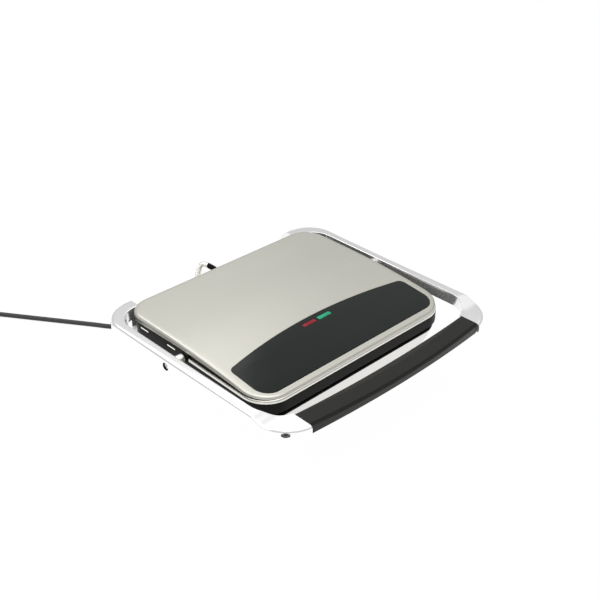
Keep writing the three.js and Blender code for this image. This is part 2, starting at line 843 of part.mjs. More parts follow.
const upperFlangeOpening = skirtInnerInset + skirtFlange;
const upperSlab = loft([
  ring(lidOutline, upperPlateInset, level(upperPlateBottom)),
  ring(lidOutline, upperPlateInset, level(upperPlateTop)),
]);
const upperRibFront = lidFrontY + upperFlangeOpening + ribMargin;
const upperRibRear = lidRearY - upperFlangeOpening - ribMargin;
add(lidGroup, 'upper_plate', ribbed(upperSlab, upperPlateBottom, -1, upperRibFront, upperRibRear), nonStick);

// Heating element: a bent tube with both ends at the back
const plateMiddleY = (baseTopFrontY + baseTopRearY) / 2;
function elementTube(z) {
  const rear = plateMiddleY + elementDepth / 2;
  const front = plateMiddleY - elementDepth / 2;
  const ends = elementSpacing / 2;
  const corners = [
    [-ends, rear + elementLead], [-ends, rear], [-elementHalfWidth, rear], [-elementHalfWidth, front],
    [elementHalfWidth, front], [elementHalfWidth, rear], [ends, rear], [ends, rear + elementLead],
  ].map(([x, y]) => new THREE.Vector3(x, y, z));
  const path = new THREE.CurvePath();
  let from = corners[0];
  for (let i = 1; i < corners.length - 1; i += 1) {
    const corner = corners[i];
    const before = corner.clone().add(from.clone().sub(corner).setLength(elementCorner));
    const after = corner.clone().add(corners[i + 1].clone().sub(corner).setLength(elementCorner));
    path.add(new THREE.LineCurve3(from, before));
    path.add(new THREE.QuadraticBezierCurve3(before, corner, after));
    from = after;
  }
  path.add(new THREE.LineCurve3(from, corners.at(-1)));
  return tube(path, elementDiameter / 2, cordSides, elementSteps);
}

add(lidGroup, 'upper_element', elementTube(upperPlateTop + seat + elementDiameter / 2), zincSteel);
add(baseGroup, 'lower_element', elementTube(lowerPlateBottom - seat - elementDiameter / 2), zincSteel);

// Heat shields: shallow pans behind the elements, their lips turned towards the plates
const upperShieldZ = upperPlateTop + elementDiameter + 2 * seat;
const upperShield = loft([
  ring(lidOutline, upperShieldInset + shieldSheet, level(upperShieldZ)),
  ring(lidOutline, upperShieldInset + shieldSheet, level(upperShieldZ - shieldLip)),
  ring(lidOutline, upperShieldInset, level(upperShieldZ - shieldLip)),
  ring(lidOutline, upperShieldInset, level(upperShieldZ + shieldSheet)),
]);
add(lidGroup, 'upper_reflector', upperShield, zincSteel);

const thermostatZ = upperShieldZ + shieldSheet + seat;
const thermostat = turned([
  [0, 0], [thermostatRadius, 0], [thermostatRadius, thermostatHeight],
  [thermostatCap, thermostatHeight], [thermostatCap, thermostatHeight + lidSheet],
  [0, thermostatHeight + lidSheet],
], smallSides).translate(thermostatX, lidRearY - thermostatFromRear, thermostatZ);
add(lidGroup, 'thermostat', thermostat, blackPlastic);

// Base: a low steel wall that leans in to a smaller bottom, with a slight bulge
const shellBottom = footHeight + coverThickness + seat;
const shellTop = baseTopHeight - collarLip - seat;
const baseTopOutline = outline({
  half: baseTopHalfWidth, front: baseTopFrontY, rear: baseTopRearY,
  frontRadius: baseFrontRadius, rearRadius: baseRearRadius,
});
const baseBottomOutline = outline({
  half: baseBottomHalfWidth, front: baseBottomFrontY, rear: baseBottomRearY,
  frontRadius: baseBottomRadius, rearRadius: baseBottomRadius,
});

function baseRing(share, inset, z) {
  const bulge = baseBulge * Math.sin(share * Math.PI);
  return baseTopOutline.map((top, i) => {
    const low = baseBottomOutline[i];
    const x = low.x + (top.x - low.x) * share + top.nx * (bulge - inset);
    const y = low.y + (top.y - low.y) * share + top.ny * (bulge - inset);
    return new THREE.Vector3(x, y, z);
  });
}

const baseShares = [...Array(baseRings + 1).keys()].map((i) => i / baseRings);
const shellZ = (share) => shellBottom + (shellTop - shellBottom) * share;
const shellWall = loft([
  ...baseShares.map((s) => baseRing(s, 0, shellZ(s))),
  ...baseShares.map((s) => baseRing(s, baseSheet, shellZ(s))).reverse(),
], { closed: true });
const baseVolume = loft(baseShares.map((s) => baseRing(s, -seat, shellZ(s))));
function baseWallY(z) {
  const share = (z - shellBottom) / (shellTop - shellBottom);
  return baseBottomRearY + (baseTopRearY - baseBottomRearY) * share + baseBulge * Math.sin(share * Math.PI);
}

const baseFlangeY = baseWallY(conduitBaseHeight + glandFlange) + seat;
const baseGlandStart = baseFlangeY + glandFlangeThickness - glandLength;
const reliefFlangeY = baseWallY(reliefHeight + reliefRootRadius) + seat;
const shellSolid = cut(
  shellWall,
  glandHole(conduitBaseX, baseFlangeY, conduitBaseHeight),
  turnedAlongY(rod(reliefTipRadius + seat, overrun * 2), reliefX, reliefFlangeY - overrun, reliefHeight, smallSides),
);
add(baseGroup, 'base_shell', shellSolid, brushedSteel);

// Collar: carries the lower plate on a ledge and laps over the edge of the steel wall
const ledgeTop = lowerPlateBottom - seat;
const collarInner = lowerPlateInset - seat;
const collarOuter = collarInner - collarWall;
const collarSolid = loft([
  ring(baseTopOutline, collarInner + collarLedge, level(ledgeTop - collarLedgeThickness)),
  ring(baseTopOutline, collarOuter, level(ledgeTop - collarLedgeThickness)),
  ring(baseTopOutline, collarOuter, level(baseTopHeight - collarLip)),
  ring(baseTopOutline, 0, level(baseTopHeight - collarLip)),
  ring(baseTopOutline, collarLip / 2, level(baseTopHeight)),
  ring(baseTopOutline, collarInner, level(baseTopHeight)),
  ring(baseTopOutline, collarInner, level(ledgeTop)),
  ring(baseTopOutline, collarInner + collarLedge, level(ledgeTop)),
], { closed: true });
add(baseGroup, 'lower_surround', collarSolid, blackPlastic);

const lowerSlab = loft([
  ring(baseTopOutline, lowerPlateInset, level(lowerPlateBottom)),
  ring(baseTopOutline, lowerPlateInset, level(lowerPlateTop)),
]);
const lowerRibFront = baseTopFrontY + lowerPlateInset + ribMargin + drainLength;
const lowerRibRear = baseTopRearY - lowerPlateInset - ribMargin;
const drain = boxBetween(
  -drainWidth / 2, drainWidth / 2,
  baseTopFrontY + lowerPlateInset - overrun, baseTopFrontY + lowerPlateInset + drainLength,
  lowerPlateTop - drainDepth, lowerPlateTop + overrun,
);
const lowerRibbed = ribbed(lowerSlab, lowerPlateTop, 1, lowerRibFront, lowerRibRear);
add(baseGroup, 'lower_plate', cut(lowerRibbed, drain), nonStick);

const lowerShieldZ = lowerPlateBottom - elementDiameter - 2 * seat;
const lowerShield = loft([
  ring(baseTopOutline, lowerShieldInset, level(lowerShieldZ - shieldSheet)),
  ring(baseTopOutline, lowerShieldInset, level(lowerShieldZ + shieldLip)),
  ring(baseTopOutline, lowerShieldInset + shieldSheet, level(lowerShieldZ + shieldLip)),
  ring(baseTopOutline, lowerShieldInset + shieldSheet, level(lowerShieldZ)),
]);
add(baseGroup, 'lower_reflector', lowerShield, zincSteel);

// Bottom cover with cooling slots and a hole for the stud of each foot
const coverBlank = loft([
  ring(baseBottomOutline, 0, level(footHeight)),
  ring(baseBottomOutline, 0, level(footHeight + coverThickness)),
]);
const coverCuts = [];
const coverMiddleY = (baseBottomFrontY + baseBottomRearY) / 2;
for (let i = 0; i < coverSlots; i += 1) {
  const y = coverMiddleY + (i - (coverSlots - 1) / 2) * coverSlotPitch;
  coverCuts.push(boxBetween(
    -coverSlotLength / 2, coverSlotLength / 2, y - coverSlotWidth / 2, y + coverSlotWidth / 2,
    footHeight - overrun, footHeight + overrun,
  ));
}
const footProfile = [
  [0, 0], [footRadius - footTaper, 0], [footRadius, footHeight - seat], [footStud, footHeight - seat],
  [footStud, footHeight + footStudHeight], [0, footHeight + footStudHeight],
];
const footDepths = { front: baseBottomFrontY + footInset, rear: baseBottomRearY - footInset };
for (const [place, y] of Object.entries(footDepths)) {
  for (const [sideName, side] of Object.entries(sideNames)) {
    const x = side * footSide;
    add(baseGroup, `foot_${place}_${sideName}`, turned(footProfile, smallSides).translate(x, y, 0), rubber);
    coverCuts.push(turned(rod(footStud + seat, overrun), smallSides).translate(x, y, 0));
  }
}
add(baseGroup, 'bottom_cover', cut(coverBlank, ...coverCuts), blackPlastic);

add(baseGroup, 'conduit_gland_base',
  turnedAlongY(glandProfile, conduitBaseX, baseGlandStart, conduitBaseHeight, smallSides), blackPlastic);

// Strain relief: a tapered sleeve with shallow rings, its neck held in the wall
const reliefTip = reliefFlangeY + reliefLength;
const reliefGroove = (reliefRootRadius - reliefTipRadius) / 2;
const reliefRadiusAt = (share) => reliefRootRadius + (reliefTipRadius - reliefRootRadius) * share;
const reliefProfile = [[0, reliefFlangeY - glandLength], [reliefTipRadius, reliefFlangeY - glandLength],
  [reliefTipRadius, reliefFlangeY], [reliefRootRadius, reliefFlangeY]];
for (let i = 1; i < reliefRings; i += 1) {
  const share = i / reliefRings;
  const at = reliefFlangeY + reliefLength * share;
  const half = reliefLength / reliefRings / 4;
  reliefProfile.push([reliefRadiusAt(share), at - half], [reliefRadiusAt(share) - reliefGroove, at]);
  reliefProfile.push([reliefRadiusAt(share), at + half]);
}
reliefProfile.push([reliefTipRadius, reliefTip], [0, reliefTip]);
add(baseGroup, 'strain_relief', turnedAlongY(reliefProfile, reliefX, 0, reliefHeight, smallSides), blackPlastic);

// Wiring conduit: a flexible metal sleeve that arches over the crossbar into the lid
const conduitStart = new THREE.Vector3(conduitBaseX, baseGlandStart + seat, conduitBaseHeight);
const conduitEnd = new THREE.Vector3(conduitLidX, lidGlandStart + seat, conduitLidHeight);
const crestY = yAt(overallDepth) - conduitRadius;
const behind = (point, distance) => point.clone().add(new THREE.Vector3(0, distance, 0));
const conduitPath = new THREE.CatmullRomCurve3([
  conduitStart,
  behind(conduitStart, glandLength),
  behind(conduitStart, glandLength + straightRun),
  new THREE.Vector3(conduitBaseX, crestY - conduitRadius, (conduitBaseHeight + conduitLidHeight) / 2 - straightRun),
  new THREE.Vector3((conduitBaseX + conduitTopX) / 2, crestY, conduitLidHeight - conduitRadius),
  new THREE.Vector3(conduitTopX, crestY - conduitRadius, conduitCrest),
  new THREE.Vector3(
    (conduitTopX + conduitLidX) / 2, (crestY + conduitEnd.y) / 2 + conduitRadius, conduitCrest - conduitRadius / 2,
  ),
  behind(conduitEnd, glandLength + straightRun),
  behind(conduitEnd, glandLength),
  conduitEnd,
], false, 'centripetal');
add(baseGroup, 'wiring_conduit', tube(conduitPath, conduitRadius, conduitSides, conduitSteps), chrome);

// Handle frame: a cast ring with a rounded outer edge, lower at the grip
const frameOuter = outline({
  half: frameHalf, front: frameFrontY, rear: frameRearY,
  frontRadius: frameFrontRadius, rearRadius: frameRearRadius,
});
const frameInner = outline({
  half: frameInnerHalf, front: frameInnerFrontY, rear: frameInnerRearY,
  frontRadius: frameInnerFrontRadius, rearRadius: frameInnerRearRadius,
});
const frameBottom = frameTopHeight - frameHeight;

function frameTopAt(y) {
  const start = frameFrontY + frameFrontRadius;
  const t = THREE.MathUtils.clamp((start - y) / (frameFrontRadius / 2), 0, 1);
  return frameTopHeight - frameFrontDrop * t * t * (3 - 2 * t);
}

function frameRing(distance, fromInner, heightAt) {
  return frameOuter.map((outer, i) => {
    const inner = frameInner[i];
    const a = fromInner ? inner : outer;
    const b = fromInner ? outer : inner;
    const span = Math.hypot(b.x - a.x, b.y - a.y);
    const share = distance / span;
    const x = a.x + (b.x - a.x) * share;
    const y = a.y + (b.y - a.y) * share;
    return new THREE.Vector3(x, y, heightAt(outer.y));
  });
}

const round = frameRound;
const arcShare = 1 - Math.SQRT1_2;
const frameRingSolid = loft([
  frameRing(0, true, level(frameBottom)),
  frameRing(0, false, level(frameBottom)),
  frameRing(0, false, (y) => frameTopAt(y) - round),
  frameRing(round * arcShare, false, (y) => frameTopAt(y) - round * arcShare),
  frameRing(round, false, frameTopAt),
  frameRing(frameInnerEdge, true, frameTopAt),
  frameRing(0, true, (y) => frameTopAt(y) - frameInnerEdge),
], { closed: true });

// At the back the ring ends in two ears that reach down to the hinge, joined by a low crossbar
const earOuter = earInner + earThickness;
const crossBarTop = frameTopHeight - crossBarDrop;
const earPoints = [
  [frameInnerRearY, crossBarTop - crossBarHeight],
  [hingeY, hingeZ - hingeRadius],
  [hingeY + hingeRadius * Math.SQRT1_2, hingeZ - hingeRadius * Math.SQRT1_2],
  [hingeY + hingeRadius, hingeZ],
  [hingeY + earReach, frameTopHeight - earChamfer],
  [hingeY + earReach - earChamfer, frameTopHeight],
  [hingeY - earReach, frameTopHeight],
  [frameInnerRearY, frameTopHeight - frameHeight],
];
const ear = profileAlongX(earPoints, earInner, earOuter);
const rearGapCut = boxBetween(
  -earInner, earInner, frameInnerRearY - overrun, frameRearY + overrun, frameBottom - overrun,
  frameTopHeight + overrun,
);
const crossBar = boxBetween(
  -earInner - earThickness / 2, earInner + earThickness / 2,
  frameInnerRearY + seat, frameInnerRearY + crossBarDepth,
  crossBarTop - crossBarHeight, crossBarTop,
);

// At the front the ring narrows to a core bar inside the grip
const gripTop = frameTopHeight - frameFrontDrop;
const gripBottom = gripTop - gripThickness;
const gripEndX = gripHalfWidth + seat;
const gripCut = boxBetween(
  -gripEndX, gripEndX, frameFrontY - overrun, frameInnerFrontY + frameInnerFrontRadius / 2,
  frameBottom - overrun, frameTopHeight + overrun,
);
const coreBarY = yAt(coreBarSetback);
const coreBarZ = gripBottom + gripCoverThickness + seat;
const coreBar = boxBetween(
  -gripHalfWidth - coreBarSink, gripHalfWidth + coreBarSink,
  coreBarY, coreBarY + coreBarDepth, coreBarZ, coreBarZ + coreBarHeight,
);

// Screws sit in recesses on the outer wall of the front corners, square to the curve
const cornerZ = (frameBottom + gripTop) / 2;
const cornerX = frameHalf - frameFrontRadius * arcShare;
const cornerY = frameFrontY + frameFrontRadius * arcShare;
const intoCorner = (geometry) => geometry
  .rotateY(-Math.PI / 2).rotateZ(-Math.PI / 4).translate(cornerX, cornerY, cornerZ);
const screwHeadAt = screwRecessDepth + cornerScrewHeadDepth;
const cornerScrew = intoCorner(turned([
  [0, screwRecessDepth + hexDepth], [hexSocket, screwRecessDepth + hexDepth],
  [hexSocket, screwRecessDepth], [cornerScrewHead, screwRecessDepth],
  [cornerScrewHead, screwHeadAt], [cornerScrewShank, screwHeadAt],
  [cornerScrewShank, screwHeadAt + cornerScrewLength], [0, screwHeadAt + cornerScrewLength],
], smallSides));
const cornerHole = intoCorner(turned([
  [0, -overrun], [cornerScrewHead + seat, -overrun], [cornerScrewHead + seat, screwHeadAt + seat],
  [cornerScrewShank + seat, screwHeadAt + seat],
  [cornerScrewShank + seat, screwHeadAt + cornerScrewLength + seat],
  [0, screwHeadAt + cornerScrewLength + seat],
], smallSides));

const boltHole = turnedAlongX([
  [0, -overrun], [pivotShaft + seat, -overrun], [pivotShaft + seat, boltHeadInner - frameInnerHalf - seat],
  [pivotHead + seat, boltHeadInner - frameInnerHalf - seat], [pivotHead + seat, overrun], [0, overrun],
], frameInnerHalf, pivotY, pivotZ, smallSides);
const pinHole = turnedAlongX(
  rod(pinRadius + running, earThickness + 2 * overrun), earInner - overrun, hingeY, hingeZ, smallSides,
);
const frameBody = join(
  cut(frameRingSolid, gripCut, rearGapCut), coreBar, ear, mirrored(ear), crossBar,
);
add(frameGroup, 'handle_frame', cut(
  frameBody, boltHole, mirrored(boltHole), pinHole, mirrored(pinHole), cornerHole, mirrored(cornerHole),
), chrome);
for (const [sideName, side] of Object.entries(sideNames)) {
  add(frameGroup, `corner_screw_${sideName}`, side > 0 ? cornerScrew : mirrored(cornerScrew), zincSteel);
}

// Grip: an upper shell over the core bar, bowed out in the middle, and a cover strip under it
const bowAt = (x) => 1 - (x / gripHalfWidth) ** 2;
const gripOuterAt = (x) => yAt(gripBow - gripBow * bowAt(x));
const gripInnerAt = (x) => yAt(gripRearDepth - gripInnerBow * bowAt(x));
const gripHollowBackAt = (x) => gripInnerAt(x) - gripWall - gripScoopWall * bowAt(x);
const coreTop = coreBarZ + coreBarHeight + seat;

function gripSection(x) {
  const front = gripOuterAt(x);
  const back = gripInnerAt(x);
  const bottom = gripBottom;
  const scoop = bowAt(x);
  const hollowBack = gripHollowBackAt(x);
  return [
    [front + gripEdge, bottom], [front + gripEdge + gripWall, bottom], [front + gripEdge + gripWall, coreTop],
    [hollowBack, coreTop], [hollowBack, bottom], [back, bottom],
    [back, gripTop - gripEdge - gripScoopDrop * scoop], [back - gripEdge - gripScoopDepth * scoop, gripTop], [front + gripCreaseDepth, gripTop],
    [front + gripRoll / 2, gripTop - gripRoll / 4], [front, gripTop - gripRoll],
  ].map(([y, z]) => new THREE.Vector3(x, y, z));
}

function coverSection(x) {
  const front = gripOuterAt(x) + gripEdge + gripWall + seat;
  const back = gripHollowBackAt(x) - seat;
  const top = gripBottom + gripCoverThickness;
  return [[front, gripBottom], [back, gripBottom], [back, top], [front, top]]
    .map(([y, z]) => new THREE.Vector3(x, y, z));
}

const gripXs = [...Array(gripSteps + 1).keys()].map((i) => gripHalfWidth * (2 * i / gripSteps - 1));
add(frameGroup, 'grip_upper', loft(gripXs.map(gripSection), { cap: 'flat' }), satinBlack);
add(frameGroup, 'grip_lower', loft(gripXs.map(coverSection), { cap: 'flat' }), satinBlack);

// Rear hinge: cast brackets on the back of the base, and headed pins into the ears
const bracketOuter = earInner - running;
const bracketInner = bracketOuter - bracketThickness;
const bracketBarrel = turnedAlongX(rod(bracketRadius, bracketThickness), bracketInner, hingeY, hingeZ);
const neckPoints = [
  [baseBottomRearY, bracketPlateLow],
  [baseTopRearY + bracketPlateThickness, bracketPlateLow],
  [hingeY + bracketRadius / 2, hingeZ - bracketRadius * Math.sin(Math.PI / 3)],
  [hingeY, hingeZ],
  [hingeY - bracketRadius * Math.SQRT1_2, hingeZ - bracketNeckTop + seat],
  [baseTopRearY, shellTop - seat],
  [baseBottomRearY, shellTop - seat],
];
const neck = profileAlongX(neckPoints, bracketInner, bracketOuter);
const foot = profileAlongX([
  [baseBottomRearY, bracketPlateLow], [baseTopRearY, bracketPlateLow],
  [baseTopRearY + bracketPlateThickness, bracketPlateLow + bracketPlateThickness],
  [baseTopRearY + bracketPlateThickness, shellTop - seat],
  [baseBottomRearY, shellTop - seat],
], bracketInner - bracketPlateReach, bracketOuter);
const bracketPinHole = turnedAlongX(
  rod(pinRadius + seat, 2 * overrun), bracketInner - overrun / 2, hingeY, hingeZ, smallSides,
);
const bracket = cut(join(bracketBarrel, neck, foot), baseVolume, bracketPinHole);
const pinStart = bracketInner - seat - pinHead;
const pinEnd = earOuter + running;
const pin = turnedAlongX([
  [0, 0], [pinHeadRadius, 0], [pinHeadRadius, pinHead], [pinRadius, pinHead],
  [pinRadius, pinEnd - pinStart], [pinHeadRadius, pinEnd - pinStart],
  [pinHeadRadius, pinEnd - pinStart + pinHead], [0, pinEnd - pinStart + pinHead],
], pinStart, hingeY, hingeZ, smallSides);
for (const [sideName, side] of Object.entries(sideNames)) {
  add(baseGroup, `hinge_bracket_${sideName}`, side > 0 ? bracket : mirrored(bracket), aluminium);
  add(baseGroup, `hinge_pin_${sideName}`, side > 0 ? pin : mirrored(pin), zincSteel);
}

// Mains lead: it drops from the strain relief to the table, runs off to the left
// and ends in a tied coil of three turns, with the plug beside it
const cordRadius = cordDiameter / 2;
const coilLow = tableGap + tieThickness + seat + cordRadius;
const coilHigh = coilLow + coilLayerStep;
const coilOuter = coilMeanRadius + coilPitch * coilTurns / 4;
const coilHeading = THREE.MathUtils.degToRad(coilHeadingDegrees);
const heading = new THREE.Vector3(Math.cos(coilHeading), Math.sin(coilHeading), 0);
const coilCentreX = coilEntryX - coilOuter * Math.sin(coilHeading);
const coilCentreY = coilEntryY + coilOuter * Math.cos(coilHeading);

// The loops spiral in on the table, climb one layer where the spiral reverses, and spiral out on top.
function coilPoint(turn) {
  const middle = coilTurns / 2;
  const radius = coilOuter - coilPitch * (middle - Math.abs(turn - middle));
  const angle = coilHeading - Math.PI / 2 + turn * 2 * Math.PI;
  const climb = THREE.MathUtils.smoothstep(turn, middle - 1 / 4, middle + 1 / 4);
  return new THREE.Vector3(
    coilCentreX + radius * Math.cos(angle),
    coilCentreY + radius * Math.sin(angle),
    coilLow + (coilHigh - coilLow) * climb,
  );
}

// A tube through given points, with one ring of corners square to the path at each of them.
function tubeThrough(points, radius, sides) {
  const up = new THREE.Vector3(0, 0, 1);
  const rings = points.map((point, i) => {
    const ahead = points[Math.min(i + 1, points.length - 1)];
    const along = ahead.clone().sub(points[Math.max(i - 1, 0)]).normalize();
    const across = up.clone().cross(along).normalize();
    const upward = along.clone().cross(across);
    return [...Array(sides).keys()].map((k) => {
      const a = k / sides * Math.PI * 2;
      return point.clone()
        .addScaledVector(across, radius * Math.cos(a))
        .addScaledVector(upward, radius * Math.sin(a));
    });
  });
  return loft(rings);
}

const loops = [...Array(coilTurns * coilLoopSteps + 1).keys()].map((i) => coilPoint(i / coilLoopSteps));
const coilIn = loops[0].clone().addScaledVector(heading, -cordDiameter);
const coilOut = loops.at(-1).clone().addScaledVector(heading, cordDiameter);
add(cordGroup, 'cord_coil', tubeThrough([coilIn, ...loops, coilOut], cordRadius, coilSides), cordBlack);

const samplesPerTurn = coilLoopSteps * 4;
const samples = [...Array(coilTurns * samplesPerTurn + 1).keys()].map((i) => coilPoint(i / samplesPerTurn));
let leastCoilGap = Infinity;
for (let i = 0; i < samples.length; i += 1) {
  for (let j = i + samplesPerTurn / 2; j < samples.length; j += 1) {
    leastCoilGap = Math.min(leastCoilGap, samples[i].distanceTo(samples[j]) - cordDiameter);
  }
}
console.log(`least gap between the loops of the coil: ${leastCoilGap.toFixed(2)} mm`);

const cordStart = new THREE.Vector3(reliefX, reliefTip + seat, reliefHeight);
const runEnd = coilIn.clone().addScaledVector(heading, -seat);
const runPath = new THREE.CatmullRomCurve3([
  cordStart,
  behind(cordStart, cordDiameter),
  ...cordRoute.map((p) => new THREE.Vector3(p.x, p.y, p.z)),
  runEnd.clone().addScaledVector(heading, -cordDiameter),
  runEnd,
], false, 'centripetal');
add(cordGroup, 'cord_run', tube(runPath, cordRadius, cordSides, runSteps), cordBlack);

const plugHeight = plugFaceRadius + tableGap;
const tailStart = coilOut.clone().addScaledVector(heading, seat);
const tailEnd = tailStart.clone().addScaledVector(heading, tailLength).setZ(plugHeight);
const tailPath = new THREE.CatmullRomCurve3([
  tailStart,
  tailStart.clone().addScaledVector(heading, cordDiameter),
  tailStart.clone().lerp(tailEnd, 1 / 2),
  tailEnd.clone().addScaledVector(heading, -cordDiameter),
  tailEnd,
], false, 'centripetal');
add(cordGroup, 'cord_tail', tube(tailPath, cordRadius, cordSides, tailSteps), cordBlack);

// Plug: a moulded round body with two pins and side notches for the earth contacts
const plugBody = turned([
  [0, 0], [plugNeckRadius, 0], [plugNeckRadius, plugNeckLength],
  [plugWaistRadius, plugShoulder], [plugWaistRadius, plugLength - 2 * plugFaceThickness],
  [plugFaceRadius, plugLength - plugFaceThickness], [plugFaceRadius, plugLength], [0, plugLength],
], roundSides);
const plugPins = [-1, 1].map((side) => turned(rod(plugPinRadius, plugPinLength + plugFaceThickness), smallSides)
  .translate(0, side * plugPinSpacing / 2, plugLength - plugFaceThickness));
const notches = [-1, 1].map((side) => boxBetween(
  side * plugFaceRadius - earthNotchDepth, side * plugFaceRadius + earthNotchDepth,
  -earthNotchWidth / 2, earthNotchWidth / 2, plugLength - earthNotchLength, plugLength + overrun,
));
const plugStart = tailEnd.clone().addScaledVector(heading, seat);
const plug = cut(join(plugBody, ...plugPins), ...notches)
  .rotateY(Math.PI / 2).rotateZ(coilHeading).translate(plugStart.x, plugStart.y, plugStart.z);
add(cordGroup, 'plug', plug, blackPlastic);

// Strap round the loops, a quarter turn past their start
const tieInnerHalf = coilPitch / 2 + cordRadius + running;
const tieInnerHeight = coilLayerStep / 2 + cordRadius + seat;

function tieOutline(path, grow) {
  const half = tieInnerHalf + grow;
  const high = tieInnerHeight + grow;
  const r = tieCorner + grow;
  path.moveTo(half - r, -high);
  path.absarc(half - r, r - high, r, -Math.PI / 2, 0);
  path.absarc(half - r, high - r, r, 0, Math.PI / 2);
  path.absarc(r - half, high - r, r, Math.PI / 2, Math.PI);
  path.absarc(r - half, r - high, r, Math.PI, Math.PI * 1.5);
  path.closePath();
  return path;
}

const tieShape = tieOutline(new THREE.Shape(), tieThickness);
tieShape.holes.push(tieOutline(new THREE.Path(), 0));
const tieRadius = coilOuter - coilPitch * 3 / 4;
const tie = new THREE.ExtrudeGeometry(tieShape, { depth: tieWidth, bevelEnabled: false, curveSegments: 3 })
  .translate(tieRadius, (coilLow + coilHigh) / 2, -tieWidth / 2)
  .rotateX(Math.PI / 2).rotateZ(coilHeading).translate(coilCentreX, coilCentreY, 0);
add(cordGroup, 'cord_tie', tie, blackPlastic);

export default grill;
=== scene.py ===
"""Looks for a countertop contact grill: a low steel base with a ribbed plate, a floating lid with a
brushed steel top and a glossy panel, and a chrome handle frame that carries the lid and hinges behind.
Lengths are in millimetres, made metres as each mesh is built. Trees, camera and lights take metres."""

import math

import bmesh
import bpy
import numpy as np
from mathutils import Matrix, Vector


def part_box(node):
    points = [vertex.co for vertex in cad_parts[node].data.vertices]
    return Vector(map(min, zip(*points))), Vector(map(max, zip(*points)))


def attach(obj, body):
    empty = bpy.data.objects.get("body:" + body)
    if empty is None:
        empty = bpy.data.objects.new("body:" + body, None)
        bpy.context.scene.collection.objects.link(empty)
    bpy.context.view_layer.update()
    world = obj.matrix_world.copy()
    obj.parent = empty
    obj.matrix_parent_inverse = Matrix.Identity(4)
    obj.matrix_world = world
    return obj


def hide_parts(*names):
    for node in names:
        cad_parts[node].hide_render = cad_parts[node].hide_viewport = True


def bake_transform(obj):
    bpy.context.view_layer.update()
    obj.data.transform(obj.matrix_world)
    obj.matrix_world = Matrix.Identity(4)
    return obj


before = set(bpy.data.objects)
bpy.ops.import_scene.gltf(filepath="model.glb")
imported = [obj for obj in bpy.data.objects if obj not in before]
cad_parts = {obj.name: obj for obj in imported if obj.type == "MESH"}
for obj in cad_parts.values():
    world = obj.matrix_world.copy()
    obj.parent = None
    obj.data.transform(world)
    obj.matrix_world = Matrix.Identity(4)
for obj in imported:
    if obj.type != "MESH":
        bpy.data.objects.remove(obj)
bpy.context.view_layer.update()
scene = bpy.context.scene
quarter_turn = math.pi / 2


# Camera: stands in front of the grill to its left and looks down on it, with a fairly long lens.
def added(name, data):
    """A new object in the scene."""
    made = bpy.data.objects.new(name, data)
    scene.collection.objects.link(made)
    return made


camera_data = bpy.data.cameras.new("camera")
camera_data.sensor_width = 36
camera_data.lens = 60.54
camera = added("camera", camera_data)
camera.location = (-0.7008, -0.7367, 0.7052)
looks_down, turned_right = 31.28, 43.87
camera.rotation_euler = (math.radians(90 - looks_down), 0, math.radians(-turned_right))
scene.camera = camera
scene.view_settings.view_transform = "Standard"


# Mains lead: a dark grey sheathed cord that drops from its strain relief to the table, runs off
# behind the grill to the left and is put away as three tied loops with a short tail to the plug.
def cleaned(mesh, crease, weld=0.0, outward=True):
    """Welds doubles, turns faces outwards and leaves only edges sharper than crease degrees sharp."""
    work = bmesh.new()
    work.from_mesh(mesh)
    if weld:
        bmesh.ops.remove_doubles(work, verts=work.verts, dist=weld)
    if outward:
        bmesh.ops.recalc_face_normals(work, faces=work.faces)
    for face in work.faces:
        face.smooth = True
    for edge in work.edges:
        edge.smooth = edge.calc_face_angle(0.0) < math.radians(crease)
    work.to_mesh(mesh)
    work.free()
    return mesh


def mesh_from(points, faces, crease=34.0):
    """A mesh of points in millimetres."""
    mesh = bpy.data.meshes.new("shape")
    mesh.from_pydata((np.asarray(points, float).reshape(-1, 3) / 1000).tolist(), [], faces)
    return cleaned(mesh, crease, weld=1e-7)


def fit(name, mesh, material, body, slot, *nodes):
    """Puts a finished mesh on a moving body, in the place of the nodes it stands for."""
    piece = added(name, mesh)
    mesh.name = name
    mesh.materials.clear()
    mesh.materials.append(material)
    if body:
        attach(piece, body)
    if nodes:
        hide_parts(*nodes)
    return piece


def between(a, b, low, high, at):
    return ((high - at) * a + (at - low) * b) / (high - low)


def smooth_path(points, per_span):
    """Centripetal Catmull-Rom curve through the points."""
    p = np.array(points, float)
    ends = [2 * p[0] - p[1], *p, 2 * p[-1] - p[-2]]
    out = []
    for a, b, c, d in zip(ends, ends[1:], ends[2:], ends[3:]):
        t = np.cumsum([0, *(max(np.linalg.norm(v), 1e-9) ** 0.5 for v in (b - a, c - b, d - c))])
        for s in np.linspace(t[1], t[2], per_span, endpoint=False):
            bc = between(b, c, t[1], t[2], s)
            abc = between(between(a, b, t[0], t[1], s), bc, t[0], t[2], s)
            bcd = between(bc, between(c, d, t[2], t[3], s), t[1], t[3], s)
            out.append(between(abc, bcd, t[1], t[2], s))
    return np.array([*out, p[-1]])


def tube_faces(layers, n, closed=False):
    """Faces between rings of n points; a closed stack goes from its last ring back to its first."""
    return [[k * n + i, k * n + (i + 1) % n, (k + 1) % layers * n + (i + 1) % n, (k + 1) % layers * n + i]
            for k in range(layers if closed else layers - 1) for i in range(n)]


def lofted(rings, crease=34.0):
    """A mesh through rings of points, with one face over each end."""
    layers, n = np.shape(rings)[:2]
    caps = [list(range(n))[::-1], list(range((layers - 1) * n, layers * n))]
    return mesh_from(rings, caps + tube_faces(layers, n), crease)


def unit(vectors):
    return vectors / np.linalg.norm(vectors, axis=-1, keepdims=True)


